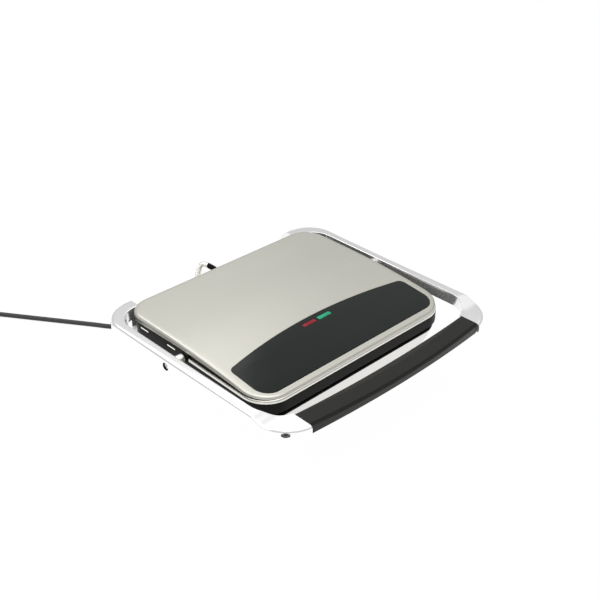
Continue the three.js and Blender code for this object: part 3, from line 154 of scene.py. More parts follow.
def swept(path, radius, sides):
    """A round tube along a path, closed at both ends."""
    along = unit(np.gradient(path, axis=0))
    across = unit(np.cross([0, 0, 1], along))
    upward = np.cross(along, across)
    turn = (np.arange(sides) / sides * 2 * math.pi)[None, :, None]
    rings = path[:, None] + radius * (np.cos(turn) * across[:, None] + np.sin(turn) * upward[:, None])
    return lofted(rings)


def wire(tree, node, inputs):
    """Sets a node's inputs, by name or number, to values or to the outputs of other nodes."""
    for key, value in inputs.items():
        if isinstance(value, bpy.types.NodeSocket):
            tree.links.new(value, node.inputs[key])
        else:
            node.inputs[key].default_value = value


def add_node(tree, kind, inputs, **settings):
    node = tree.nodes.new(kind)
    for name, value in settings.items():
        setattr(node, name, value)
    wire(tree, node, inputs)
    return node


def noise(tree, place, scale, detail=2.0, roughness=0.5):
    return add_node(tree, "ShaderNodeTexNoise", {"Vector": place, "Scale": scale, "Detail": detail,
                                                 "Roughness": roughness}).outputs["Fac"]


def ranged(tree, value, low, high, start=0.0, end=1.0, **settings):
    """A value from start to end, stretched over low to high."""
    return add_node(tree, "ShaderNodeMapRange", {"Value": value, "From Min": start, "From Max": end,
                                                 "To Min": low, "To Max": high}, **settings).outputs["Result"]


def mixed(tree, factor, first, second, **settings):
    return add_node(tree, "ShaderNodeMix", {"Factor": factor, "A": first, "B": second}, data_type="RGBA",
                    **settings).outputs["Result"]


def tinted(tree, factor, colour, low, high):
    """A colour at a low to a high share of its strength."""
    dim, strong = ([c * share for c in colour] + [1] for share in (low, high))
    return mixed(tree, factor, dim, strong)


def bumped(tree, height, strength, depth):
    return add_node(tree, "ShaderNodeBump", {"Height": height, "Strength": strength,
                                             "Distance": depth}).outputs["Normal"]


def new_material(name):
    """A new material with its tree, its shader and the object's own coordinates."""
    material = bpy.data.materials.new(name)
    material.use_nodes = True
    tree = material.node_tree
    place = tree.nodes.new("ShaderNodeTexCoord").outputs["Object"]
    return material, tree, tree.nodes["Principled BSDF"], place


def plastic(name, colour, roughness, grain=900, depth=6e-5, specular=0.5, mottle=0.12):
    """Moulded plastic or rubber: a fine pebbled skin with slightly uneven colour and gloss."""
    material, tree, shader, place = new_material(name)
    cloud = noise(tree, place, 14, 4)
    wire(tree, shader, {
        "Specular IOR Level": specular,
        "Base Color": tinted(tree, cloud, colour, 1 - mottle, 1 + mottle),
        "Roughness": ranged(tree, cloud, roughness - 0.05, roughness + 0.05),
        "Normal": bumped(tree, noise(tree, place, grain), 0.5, depth),
    })
    return material


cord_across, cord_x, cord_z = 6.2, -36, 17
joint_gap = 0.3
relief_low, relief_high = (corner.y * 1000 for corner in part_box("strain_relief"))
cord_exit = np.array([cord_x, relief_high + joint_gap, cord_z])
coil_heading = math.radians(125)
onward = np.array([math.cos(coil_heading), math.sin(coil_heading), 0])
coil_outer, coil_pitch, coil_turns = 39.175, 6.9, 3
coil_middle = np.array([-240 - coil_outer * onward[1], 388 + coil_outer * onward[0]])
coil_low, coil_high = 4.8, 11.5
turns = np.linspace(0, coil_turns, coil_turns * 48 + 1)
coil_radius = coil_outer - coil_pitch * (coil_turns / 2 - np.abs(turns - coil_turns / 2))
coil_angle = coil_heading - quarter_turn + turns * 2 * math.pi
climb = np.clip((turns - coil_turns / 2 + 0.25) / 0.5, 0, 1)
coil_height = coil_low + (coil_high - coil_low) * climb * climb * (3 - 2 * climb)
loops = np.stack([coil_middle[0] + coil_radius * np.cos(coil_angle),
                  coil_middle[1] + coil_radius * np.sin(coil_angle), coil_height], axis=1)
run_end = loops[0] - onward * (cord_across + joint_gap)
run = smooth_path([
    cord_exit, cord_exit + [0, cord_across, 0],
    (-36.5, 171, 13.5), (-41, 182, 7), (-51, 191, 3.8), (-65, 197, 3.3), (-82, 199.5, 3.3), (-98, 202.5, 3.3),
    (-110, 208, 3.3), (-120, 216.5, 3.3), (-134, 236.5, 3.3), (-148, 256.5, 3.3), (-195, 323.7, 3.3),
    (-220, 359.4, 3.6), run_end - onward * cord_across, run_end,
], 12)
tail_start = loops[-1] + onward * (cord_across + joint_gap)
tail_end = tail_start + onward * 55
plug_height = 18.7
tail_end[2] = plug_height
tail = smooth_path([
    tail_start, tail_start + onward * cord_across, (tail_start + tail_end) / 2,
    tail_end - onward * cord_across, tail_end,
], 10)
lead = np.concatenate([run, loops, tail])
cord_sheath = plastic("cord_sheath", (0.022, 0.022, 0.022), 0.42, grain=1400, depth=3e-5)
cord = fit("mains_cord", swept(lead, cord_across / 2, 16), cord_sheath, "base", "cord_sheath",
           "cord_run", "cord_coil", "cord_tail")


# Plug: a moulded round body with a waisted grip, side notches for the earth contacts and two pins
# of plated brass. It lies on the table on the rim of its face.
def turned(profile, sides=48):
    """Points and faces of a shape turned about Z. Profile points are radius and height; those at
    radius 0 close on the axis, and a profile that ends where it starts makes a ring."""
    turn = np.arange(sides) / sides * 2 * math.pi
    around = np.stack([np.cos(turn), np.sin(turn)], axis=1)
    points, rows, faces = [], [], []
    for radius, height in profile:
        if radius < 1e-6:
            rows.append([len(points)] * sides)
            points.append([0, 0, height])
        else:
            rows.append(list(range(len(points), len(points) + sides)))
            points += [[radius * c, radius * s, height] for c, s in around]
    for low, high in zip(rows, rows[1:]):
        for i in range(sides):
            j = (i + 1) % sides
            face = list(dict.fromkeys([low[i], low[j], high[j], high[i]]))
            if len(face) > 2:
                faces.append(face)
    return np.array(points), faces


def rod(radius, low, high):
    """The profile of a plain round bar."""
    return [(0, low), (radius, low), (radius, high), (0, high)]


def softened(profile, size, closed=False):
    """A profile with its corners rounded over. An open one keeps its two ends."""
    p = [np.array(q, float) for q in profile]
    corners = zip([p[-1], *p[:-1]], p, [*p[1:], p[0]]) if closed else zip(p, p[1:], p[2:])
    out = []
    for a, b, c in corners:
        reach = min(size, np.linalg.norm(a - b) / 2.01, np.linalg.norm(c - b) / 2.01)
        first, last = b + unit(a - b) * reach, b + unit(c - b) * reach
        out += [(1 - t) ** 2 * first + 2 * t * (1 - t) * b + t * t * last for t in np.linspace(0, 1, 4)]
    return out if closed else [p[0], *out, p[-1]]


def towards(points, axis, origin):
    """Turned points with their axis laid along the given direction."""
    side = unit(np.cross(axis, [0, 0, 1]))
    return origin + points @ np.array([side, np.cross(axis, side), axis])


def evaluated(data, *steps):
    """A plain mesh of the data after a stack of modifiers, each a kind and its settings."""
    body = added("work", data)
    for kind, settings in steps:
        step = body.modifiers.new("step", kind)
        for name, value in settings.items():
            if hasattr(step, name):
                setattr(step, name, value)
            else:
                step[name] = value
    made = bpy.data.meshes.new_from_object(body.evaluated_get(bpy.context.evaluated_depsgraph_get()))
    bpy.data.objects.remove(body)
    return made


def carve(mesh, operation, *tools):
    """A mesh with other closed meshes cut out of it or joined to it."""
    helpers = [added("tool", tool) for tool in tools]
    made = evaluated(mesh, *(("BOOLEAN", {"operation": operation, "solver": "EXACT", "object": helper})
                             for helper in helpers))
    for helper in helpers:
        bpy.data.objects.remove(helper)
    return made


def edged(mesh, width=0.0, crease=34.0):
    """Rounds the sharp edges of a mesh and makes its flats shade flat."""
    if width:
        mesh = evaluated(mesh, ("BEVEL", {"width": width / 1000, "segments": 2, "limit_method": "ANGLE",
                                          "angle_limit": math.radians(crease)}))
    mesh = cleaned(mesh, crease, weld=2e-6, outward=False)
    return evaluated(mesh, ("WEIGHTED_NORMAL", {"keep_sharp": True}))


def block(x0, x1, y0, y1, z0, z1, axes=np.eye(3), origin=(0, 0, 0)):
    """A box, from its low and high places along the axes."""
    rings = np.array([[(x, y, z) for x, y in ((x0, y0), (x1, y0), (x1, y1), (x0, y1))] for z in (z0, z1)])
    return lofted(rings @ axes + origin)


def metal(name, colour, roughness, uneven=0.04, grain=160, depth=2e-5):
    """Plated or cast metal: reflections with faint smears and a fine uneven skin."""
    material, tree, shader, place = new_material(name)
    smear = noise(tree, place, 9, 5)
    wire(tree, shader, {
        "Metallic": 1,
        "Base Color": tinted(tree, smear, colour, 0.96, 1),
        "Roughness": ranged(tree, smear, roughness, roughness + uneven, 0.35, 0.7),
        "Normal": bumped(tree, noise(tree, place, grain), 0.25, depth),
    })
    return material


plug_origin = tail_end + onward * joint_gap
sideways = np.array([-onward[1], onward[0], 0])
plug_axes = np.array([(0, 0, 1), sideways, onward])
plug_points, plug_faces = turned(softened([(0, 0), (5.5, 0), (5.5, 13), (13.5, 20), (12.9, 25), (13.5, 30),
                                           (18.5, 35), (18.5, 40), (0, 40)], 1.2), 64)
notches = [block(middle - 2.5, middle + 2.5, -4, 4, 26, 60, plug_axes, plug_origin)
           for middle in (-18.5, 18.5)]
plug_mesh = carve(mesh_from(towards(plug_points, onward, plug_origin), plug_faces), "DIFFERENCE", *notches)
plug_moulding = plastic("plug_moulding", (0.018, 0.018, 0.018), 0.45)
plug = fit("plug_body", edged(plug_mesh, 0.4), plug_moulding, "base", "black_plastic", "plug")
pin_points, pin_faces = turned(softened(rod(2.4, 0, 19), 1.0), 24)
pin_pair = [towards(pin_points, onward, plug_origin + onward * 40 + sideways * shift)
            for shift in (-9.5, 9.5)]
pins_mesh = mesh_from(pin_pair, pin_faces + [[c + len(pin_points) for c in face] for face in pin_faces])
pins = fit("plug_pins", pins_mesh, metal("pin_metal", (0.62, 0.60, 0.55), 0.22), "base", "zinc_steel")


# Tie: a flat moulded strap closed round the loops, a quarter turn past their start.
def strap_ring(thick, reach):
    """An oblong with round corners about the loops, at a reach along them."""
    half = (coil_pitch + cord_across) / 2 + 0.5 + thick
    high = (coil_high - coil_low + cord_across) / 2 + 0.3 + thick
    corner = 3 + thick
    points = []
    for k, (cx, cy) in enumerate(((1, -1), (1, 1), (-1, 1), (-1, -1))):
        for a in np.linspace(k - 1, k, 9) * quarter_turn:
            radius = coil_outer - coil_pitch * 0.75 + cx * (half - corner) + corner * math.cos(a)
            x, y = coil_middle + radius * onward[:2] + reach * sideways[:2]
            points.append((x, y, (coil_low + coil_high) / 2 + cy * (high - corner) + corner * math.sin(a)))
    return points


tie_rings = [strap_ring(*step) for step in ((1.2, -3), (1.2, 3), (0, 3), (0, -3))]
tie_mesh = mesh_from(tie_rings, tube_faces(4, len(tie_rings[0]), closed=True))
tie = fit("tie_strap", edged(tie_mesh, 0.25), plug_moulding, "base", "black_plastic", "cord_tie")


# Feet: four rubber pads, each with a stud that is pressed into the bottom cover.
def tree_named(name, **inputs):
    """A node tree that takes a shape, the named inputs and a finish, with the outputs of its start."""
    tree = bpy.data.node_groups.new(name, "GeometryNodeTree")
    for label, kind in {"Shape": "Geometry", **inputs, "Finish": "Material"}.items():
        tree.interface.new_socket(label, in_out="INPUT", socket_type="NodeSocket" + kind)
    tree.interface.new_socket("Result", in_out="OUTPUT", socket_type="NodeSocketGeometry")
    return tree, tree.nodes.new("NodeGroupInput").outputs


def close_tree(tree, start, grown):
    """Ends a tree: its instances become real and take the finish."""
    real = add_node(tree, "GeometryNodeRealizeInstances", {"Geometry": grown})
    dress = add_node(tree, "GeometryNodeSetMaterial", {"Geometry": real.outputs["Geometry"],
                                                       "Material": start["Finish"]})
    add_node(tree, "NodeGroupOutput", {"Result": dress.outputs["Geometry"]})


def repeat_on(tree, start, kind, inputs):
    """Ends a tree with its shape repeated on the points of a mesh."""
    points = add_node(tree, kind, inputs).outputs["Mesh"]
    spread = add_node(tree, "GeometryNodeInstanceOnPoints", {"Points": points, "Instance": start["Shape"]})
    close_tree(tree, start, spread.outputs["Instances"])


def grow(data, tree, shift=(0, 0, 0), **values):
    """Runs a tree on a mesh or curve and gives back a plain mesh, moved into place."""
    settings = {item.identifier: values[item.name] for item in tree.interface.items_tree
                if item.in_out == "INPUT" and item.name in values}
    made = evaluated(data, ("NODES", {"node_group": tree, **settings}))
    made.transform(Matrix.Translation(Vector(shift) / 1000))
    return made


four_corners, start = tree_named("four_corners", Width="Float", Depth="Float")
repeat_on(four_corners, start, "GeometryNodeMeshGrid",
          {"Vertices X": 2, "Vertices Y": 2, "Size X": start["Width"], "Size Y": start["Depth"]})


def at_feet(mesh, finish):
    """A mesh repeated at the places of the four feet."""
    return grow(mesh, four_corners, (0, 9, 0), Width=0.196, Depth=0.157, Finish=finish)


foot_rubber = plastic("foot_rubber", (0.016, 0.016, 0.016), 0.7, grain=700, depth=0.0001)
foot_profile = softened([(0, 0), (8.4, 0), (10, 4.7), (4, 4.7), (4, 7), (0, 7)], 0.7)
fit("feet", at_feet(mesh_from(*turned(foot_profile)), foot_rubber), foot_rubber, "base", "rubber",
    "foot_front_left", "foot_front_right", "foot_rear_left", "foot_rear_right")


# Bottom cover: a moulded black tray with seven cooling slots and a recess for each foot stud.
def outline(half, front, rear, front_radius, rear_radius, corner=18, side=28):
    """Places and outward normals round a rounded rectangle, mirrored left and right."""
    def arc(radius, middle, first):
        turn = [(i / corner + first) * quarter_turn for i in range(corner + 1)]
        normals = [(math.cos(a), math.sin(a)) for a in turn]
        return [(half - radius + radius * nx, middle + radius * ny, nx, ny) for nx, ny in normals]

    low, high = front + front_radius, rear - rear_radius
    wall = [(half, low + (high - low) * i / side, 1, 0) for i in range(1, side)]
    right = [(0, front, 0, -1), *arc(front_radius, low, -1), *wall, *arc(rear_radius, high, 0)]
    left = [(-x, y, -nx, ny) for x, y, nx, ny in right[:0:-1]]
    return np.array([*right, (0, rear, 0, 1), *left], float)


def raised(flat, height):
    """Flat places put at one height, or at a height that follows the depth."""
    y = flat[:, 1]
    return np.column_stack([flat, height(y) if callable(height) else np.full(len(y), float(height))])


def ring(places, inset, height):
    """An outline moved inwards."""
    return raised(places[:, :2] - inset * places[:, 2:], height)


def skin(rings, closed=False):
    """A mesh through rings of equal count; open stacks are closed with strips."""
    layers, n = np.shape(rings)[:2]
    faces = tube_faces(layers, n, closed)
    if not closed:
        for low in (0, (layers - 1) * n):
            faces.append([low, low + 1, low + n - 1])
            faces += [[low + i, low + i + 1, low + n - i - 1, low + n - i] for i in range(1, n // 2 - 1)]
            faces.append([low + n // 2 - 1, low + n // 2, low + n // 2 + 1])
    return mesh_from(rings, faces)


def stacked(places, *steps, closed=False):
    """A skin over one outline, in steps of inset and height."""
    return skin([ring(places, inset, height) for inset, height in steps], closed)


row_along, start = tree_named("row_along", Count="Int", Step="Vector")
repeat_on(row_along, start, "GeometryNodeMeshLine", {"Count": start["Count"], "Offset": start["Step"]})

heatproof = plastic("heatproof_plastic", (0.006, 0.0057, 0.005), 0.46, grain=800, depth=5e-5, specular=0.1)
bottom_outline = outline(121, -93.5, 111.5, 20, 20)
cover_mesh = stacked(bottom_outline, (0.8, 5), (0.2, 5.3), (0, 5.9), (0, 7.4))
cooling_slots = grow(block(-23, 23, -2, 2, 0, 12), row_along, (0, -21, 0), Count=7, Step=(0, 0.010, 0),
                     Finish=heatproof)
stud_holes = at_feet(mesh_from(*turned(rod(4.3, 0, 12))), heatproof)
fit("bottom_tray", edged(carve(cover_mesh, "DIFFERENCE", cooling_slots, stud_holes), 0.2),
    heatproof, "base", "black_plastic", "bottom_cover")


# Base wall: one pressing of thin brushed stainless steel that leans in to the bottom cover, with
# rounded corners and a slight bulge. Two holes at the back take the wiring and the mains lead.
def brushed(name, colour, roughness):
    """Brushed stainless steel: long fine streaks in the colour, the gloss and the relief."""
    material, tree, shader, place = new_material(name)
    stretch = add_node(tree, "ShaderNodeMapping", {"Vector": place, "Scale": (5, 950, 950)})
    lines = noise(tree, stretch.outputs["Vector"], 1, 4, 0.65)
    cloud = ranged(tree, noise(tree, place, 7, 3), 0.965, 1.035)
    wire(tree, shader, {
        "Metallic": 1,
        "Base Color": mixed(tree, 1, tinted(tree, lines, colour, 0.95, 1.05), cloud, blend_type="MULTIPLY"),
        "Roughness": ranged(tree, lines, roughness - 0.05, roughness + 0.06),
        "Normal": bumped(tree, lines, 0.5, 0.000012),
    })
    return material


top_outline = outline(147.5, -107.5, 127.5, 33, 25)
wall_low, wall_rise, wall_bulge, wall_thick = 7.7, 32.9, 3, 1.6


def wall_rings(inset):
    """The wall from its bottom to its top outline, with its bulge."""
    rings = []
    for share in np.linspace(0, 1, 13):
        bulge = wall_bulge * math.sin(share * math.pi) - inset
        flat = bottom_outline[:, :2] * (1 - share) + top_outline[:, :2] * share + top_outline[:, 2:] * bulge
        rings.append(raised(flat, wall_low + wall_rise * share))
    return rings


def along_y(profile, x, z, crease=34.0):
    """A shape turned about a line along Y."""
    points, faces = turned(profile)
    return mesh_from(points[:, [0, 2, 1]] + [x, 0, z], faces, crease)


conduit_x, conduit_z = -16, 21
wall_holes = [along_y(rod(radius, 100, 150), x, z)
              for radius, x, z in ((5.5, conduit_x, conduit_z), (4.6, cord_x, cord_z))]
wall_mesh = skin([*wall_rings(0), *wall_rings(wall_thick)[::-1]], closed=True)
wall_mesh = carve(wall_mesh, "DIFFERENCE", *wall_holes)
base_steel = brushed("base_steel", (0.74, 0.73, 0.71), 0.34)
fit("base_wall", edged(wall_mesh, 0.25), base_steel, "base", "stainless", "base_shell")


# Collar: a black heat resistant moulding that laps over the edge of the steel wall and carries the
# lower cooking plate on a ledge.
collar_profile = softened([(22.7, 28.9), (13.5, 28.9), (13.5, 40.9), (0, 40.9), (0.8, 42.5), (15.7, 42.5),
                           (15.7, 30.9), (22.7, 30.9)], 0.5, closed=True)
fit("collar", edged(stacked(top_outline, *collar_profile, closed=True)), heatproof, "base", "black_plastic",
    "lower_surround")


# Lower cooking plate: cast aluminium with a dark non-stick coat, ribs from front to back with
# rounded tops and run-outs, and a drain mouth cut in its front edge.
def ribs(front, rear, low, high):
    """A row of ribs, each wide at its root, rounded on top and sloped at its ends."""
    half_round = [(2.2, 0), (1.35, 0.72), (1.0, 0.93), (0.5, 1)]
    rounded = [(-x, h) for x, h in half_round] + half_round[::-1]
    run_out = [(0, 0), (1.6, 0.62), (3, 0.92), (4.2, 1)]
    root = low - math.copysign(1.5, high - low)
    rows = [[(x, y, low + (high - low) * max(h * share, 0.001)) for x, h in rounded]
            + [(2.2, y, root), (-2.2, y, root)]
            for y, share in [(front + d, s) for d, s in run_out] + [(rear - d, s) for d, s in run_out[::-1]]]
    return grow(lofted(rows, 50), row_along, (-126, 0, 0), Count=22, Step=(0.012, 0, 0), Finish=non_stick)


non_stick = plastic("non_stick", (0.020, 0.020, 0.021), 0.36, grain=2200, depth=2e-5, mottle=0.25)
drain = block(-13, 13, -120, -82.5, 35.2, 66)
slab = stacked(top_outline, (17, 31.2), (16, 32.2), (16, 38.6), (16.2, 39), (16.7, 39.2))
fit("ribbed_plate_lower", edged(carve(slab, "DIFFERENCE", drain), 0.3), non_stick, "base", "non_stick",
    "lower_plate")
fit("ribs_lower", ribs(-78, 107, 39.2, 42.2), non_stick, "base", "non_stick")


# Inside the base: a bent tubular heater under the plate and a thin steel heat shield. Both are
# closed in, so the plain shapes stay and only take their finish.
def repaint(material, *nodes_named):
    for node in nodes_named:
        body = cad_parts[node]
        if not body.material_slots:
            body.data.materials.append(material)
        for slot in body.material_slots:
            slot.material = material


plated = metal("plated_steel", (0.50, 0.51, 0.52), 0.3, uneven=0.1)
repaint(plated, "lower_element", "lower_reflector")


# Rear hinge: two cast aluminium brackets screwed to the back of the base wall. A headed steel pin
# goes through the eye of each and through an ear of the handle frame.
def along_x(profile, y, z, side, sides=48):
    """A shape turned about a line along X, on the right side or mirrored to the left."""
    points, faces = turned(profile, sides)
    return mesh_from(points[:, [2, 0, 1]] * [side, 1, 1] + [0, y, z], faces)


def extruded_x(corners, x0, x1, side):
    """A flat outline of depths and heights, given thickness along X."""
    return lofted([[(x * side, y, z) for y, z in corners] for x in (x0, x1)])


sides_named = ((-1, "left"), (1, "right"))
cast = metal("cast_aluminium", (0.56, 0.57, 0.58), 0.34, uneven=0.12, grain=500, depth=8e-5)
hinge_y, hinge_z = 154.5, 46
arm_side = [(111.5, 12), (130.5, 12), (158.8, 38.55), (hinge_y, hinge_z), (148.42, 40.3), (111.5, 40.3)]
flange_side = [(111.5, 12), (127.5, 12), (130.5, 15), (130.5, 40.3), (111.5, 40.3)]
hinge_pin_profile = softened([(0, 116.2), (5.5, 116.2), (5.5, 118.2), (3.5, 118.2), (3.5, 140.5),
                              (5.5, 140.5), (5.5, 142.5), (0, 142.5)], 0.7)
for side, word in sides_named:
    eye = along_x(rod(8.6, 118.5, 127.5), hinge_y, hinge_z, side, 64)
    bracket = carve(eye, "UNION", extruded_x(arm_side, 118.5, 127.5, side),
                    extruded_x(flange_side, 110.5, 127.5, side))
    bracket = carve(bracket, "DIFFERENCE", skin(wall_rings(-0.3)),
                    along_x(rod(3.8, 100, 150), hinge_y, hinge_z, side))
    fit("hinge_arm_" + word, edged(bracket, 0.6), cast, "base", "cast_aluminium", "hinge_bracket_" + word)
    fit("hinge_pivot_" + word, along_x(hinge_pin_profile, hinge_y, hinge_z, side), plated, "base",
        "zinc_steel", "hinge_pin_" + word)


# Strain relief: a tapered rubber sleeve with shallow rings, where the mains lead leaves the base.
wall_face, ring_pitch, ring_spaces, wide, narrow = relief_low + 7, 5, 6, 6.5, 4.3
relief_profile = [(0, relief_low), (narrow, relief_low), (narrow, wall_face), (wide, wall_face)]
for k in range(1, ring_spaces):
    at, radius = wall_face + ring_pitch * k, wide - (wide - narrow) * k / ring_spaces
    relief_profile += [(radius, at - 1.25), (radius - 1.1, at), (radius, at + 1.25)]
relief_tip = wall_face + ring_pitch * ring_spaces
relief_profile += [(narrow, relief_tip), (4.0, relief_tip + 0.2), (0, relief_tip + 0.2)]
fit("lead_sleeve", along_y(softened(relief_profile, 0.6), cord_x, cord_z, 50), foot_rubber,
    "base", "black_plastic", "strain_relief")


# Wiring conduit: a flexible sleeve of lapped rings, bright metal to just past its crest and black
# rubber from there to the lid. It arches from a gland in the base over the frame's crossbar into a
# gland in the lid.
gland_base_y, gland_lid_y = (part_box("conduit_gland_" + end)[0].y * 1000 for end in ("base", "lid"))
conduit_from = np.array([conduit_x, gland_base_y + joint_gap, conduit_z])
conduit_to = np.array([5, gland_lid_y + joint_gap, 60])
back = np.array([0, 1, 0])
crest_y = 170.5
per_span, spans_to_crest, steps_past_crest = 16, 5, 9
conduit_path = smooth_path([
    conduit_from, conduit_from + back * 7, conduit_from + back * 14,
    (-16, crest_y - 3.5, 33.5), (-11.5, crest_y, 56.5), (-7, crest_y - 3.5, 71),
    (-1, (crest_y + conduit_to[1]) / 2 + 3.5, 69.25),
    conduit_to + back * 14, conduit_to + back * 7, conduit_to,
], per_span)
black_from = spans_to_crest * per_span + steps_past_crest


def combined(tree, operation, first, second):
    return add_node(tree, "ShaderNodeMath", {0: first, 1: second}, operation=operation).outputs[0]


def circle(tree, resolution, radius):
    return add_node(tree, "GeometryNodeCurvePrimitiveCircle",
                    {"Resolution": resolution, "Radius": radius}).outputs["Curve"]


lapped_sleeve, start = tree_named("lapped_sleeve", Spacing="Float", Radius="Float", Thickness="Float")
tree = lapped_sleeve
core_radius = combined(tree, "SUBTRACT", start["Radius"], start["Thickness"])
spaced = add_node(tree, "GeometryNodeCurveToPoints", {
    "Curve": start["Shape"], "Length": start["Spacing"]}, mode="LENGTH")
band = add_node(tree, "GeometryNodeCurveToMesh", {
    "Curve": circle(tree, 28, core_radius),
    "Profile Curve": circle(tree, 8, start["Thickness"])})
bands = add_node(tree, "GeometryNodeInstanceOnPoints", {
    "Points": spaced.outputs["Points"], "Rotation": spaced.outputs["Rotation"],
    "Instance": band.outputs["Mesh"]})
core = add_node(tree, "GeometryNodeCurveToMesh", {
    "Curve": start["Shape"], "Profile Curve": circle(tree, 24, core_radius), "Fill Caps": True})
both = add_node(tree, "GeometryNodeJoinGeometry", {"Geometry": bands.outputs["Instances"]})
wire(tree, both, {"Geometry": core.outputs["Mesh"]})
close_tree(tree, start, both.outputs["Geometry"])
bright = metal("bright_plate", (0.86, 0.85, 0.80), 0.12, uneven=0.08)


def sleeve_along(path, finish):
    line = bpy.data.curves.new("conduit_line", "CURVE")
    line.dimensions = "3D"
    spline = line.splines.new("POLY")
    spline.points.add(len(path) - 1)
    for point, place in zip(spline.points, path / 1000):
        point.co = (*place, 1)
    mesh = grow(line, lapped_sleeve, Spacing=0.0023, Radius=0.0038, Thickness=0.0006, Finish=finish)
    return cleaned(mesh, 60)


sleeve = fit("conduit_sleeve", sleeve_along(conduit_path[:black_from + 1], bright), bright, None, "chrome",
             "wiring_conduit")
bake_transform(sleeve)
sleeve_end = fit("conduit_sleeve_end", sleeve_along(conduit_path[black_from:], heatproof), heatproof, None,
                 "black_plastic")
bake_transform(sleeve_end)
gland_profile = softened([(4, 0), (5.2, 0), (5.2, 5.4), (6.6, 5.4), (6.6, 7), (4, 7)], 0.35, closed=True)
for body, end, gland_y in (("base", conduit_from, gland_base_y), ("lid", conduit_to, gland_lid_y)):
    shifted = [(r, h + gland_y) for r, h in [*gland_profile, gland_profile[0]]]
    fit("conduit_bushing_" + body, along_y(shifted, end[0], end[2], 50), heatproof, body, "black_plastic",
        "conduit_gland_" + body)


# Handle frame: one chrome plated casting all round the lid. It is a rounded rectangle of bar with a
# soft outer edge, lower where the grip sits, with two ears and a low crossbar at the back. The walls
# that face its middle are less polished.
chrome = metal("chrome_plate", (0.93, 0.93, 0.93), 0.12, uneven=0.03, grain=40, depth=1e-5)
tree = chrome.node_tree
place = tree.nodes.new("ShaderNodeTexCoord").outputs
level_place = add_node(tree, "ShaderNodeVectorMath", {0: place["Object"], 1: (1, 1, 0)}, operation="MULTIPLY")
facing_out = add_node(tree, "ShaderNodeVectorMath", {0: level_place.outputs["Vector"], 1: place["Normal"]},
                      operation="DOT_PRODUCT")
polish = ranged(tree, facing_out.outputs["Value"], 0.75, 1, -0.08, -0.03)
wire(tree, tree.nodes["Principled BSDF"], {"Metallic": polish})
frame_half, frame_front, front_corner = 175, -168.5, 46
frame_outer = outline(frame_half, frame_front, 154.5, front_corner, 38, corner=26, side=40)
frame_inner = outline(163, -140, 137, 38, 30, corner=26, side=40)
frame_high, grip_drop, drop_from, drop_over = 74, 4, -116, 18


def frame_top(y):
    """The height of the bar's top, which steps down to the grip."""
    t = np.clip((drop_from - y) / drop_over, 0, 1)
    return frame_high - grip_drop * t * t * (3 - 2 * t)


def above(surface, rise):
    """A height that follows the depth, raised by an amount."""
    return lambda y: surface(y) + rise


def bar_rings(near, far, *steps):
    """Rings round the bar, in steps of height and of distance from one of its edges to the other."""
    way = unit(far[:, :2] - near[:, :2])
    return [raised(near[:, :2] + way * distance, height) for distance, height in steps]


edge_radius = 4.5
outer_rings = bar_rings(frame_outer, frame_inner, (1.2, 58.5), (0.35, 58.85), (0, 59.7), *(
    (edge_radius * (1 - math.cos(a)), above(frame_top, -edge_radius * (1 - math.sin(a))))
    for a in np.linspace(0, quarter_turn, 9)))
low_ring, *inner_rings = bar_rings(
    frame_inner, frame_outer, (0.6, 58.5), (0.9, frame_top), (0.35, above(frame_top, -0.12)),
    (0.1, above(frame_top, -0.4)), (0, above(frame_top, -0.9)), (0, 59.1))
top_rings = [raised(outer_rings[-1][:, :2] * (1 - share) + inner_rings[0][:, :2] * share, frame_top)
             for share in (0.2, 0.4, 0.6, 0.8)]
grip_gap, rear_gap = block(-136.3, 136.3, -190, -121, 40, 94), block(-128, 128, 117, 175, 38, 94)
bar = skin([low_ring, *outer_rings, *top_rings, *inner_rings], closed=True)
bar = carve(bar, "DIFFERENCE", grip_gap, rear_gap)
ear_side = [(137, 44), (hinge_y, 37),
            *((hinge_y + 9 * math.sin(a), hinge_z - 9 * math.cos(a))
              for a in np.linspace(0.12, quarter_turn, 14)),
            *((149.5 + 14 * math.cos(a), 56 + 17.95 * math.sin(a)) for a in np.linspace(0, quarter_turn, 14)),
            (146.5, 73.95), (137, 58.5)]
ears = [extruded_x(ear_side, 128, 140, side) for side in (-1, 1)]
crossbar, grip_core = block(-134, 134, 137.3, 144.5, 44, 54), block(-148, 148, -159.5, -148.5, 62, 67)
bar = carve(bar, "UNION", *ears, crossbar, grip_core)
pivot_y, pivot_z = 24.5, 64.3
corner_way = np.array([-1, 1, 0]) / math.sqrt(2)
corner_cut = front_corner * (1 - math.sqrt(0.5))
corner_at = np.array([frame_half - corner_cut, frame_front + corner_cut, 64.25])


def in_corner(profile, squash, side):
    """A turned shape squashed to an oval, laid inwards from a front corner of the frame."""
    points, faces = turned(profile)
    mirror = [side, 1, 1]
    return mesh_from(towards(points * squash, corner_way * mirror, corner_at * mirror), faces)


bores = []
pivot_bore = [(0, 140), (2.8, 140), (2.8, 169.1), (4.9, 169.1), (4.9, 195), (0, 195)]
screw_bore = [(0, -20), (3.7, -20), (3.7, 4.1), (2.1, 4.1), (2.1, 15.1), (0, 15.1)]
for side in (-1, 1):
    bores += [along_x(pivot_bore, pivot_y, pivot_z, side), along_x(rod(4, 108, 160), hinge_y, hinge_z, side),
              in_corner(screw_bore, [1.35, 0.8, 1], side)]
fit("chrome_frame", edged(carve(bar, "DIFFERENCE", *bores), 0.35, crease=40), chrome, "frame", "chrome",
    "handle_frame")
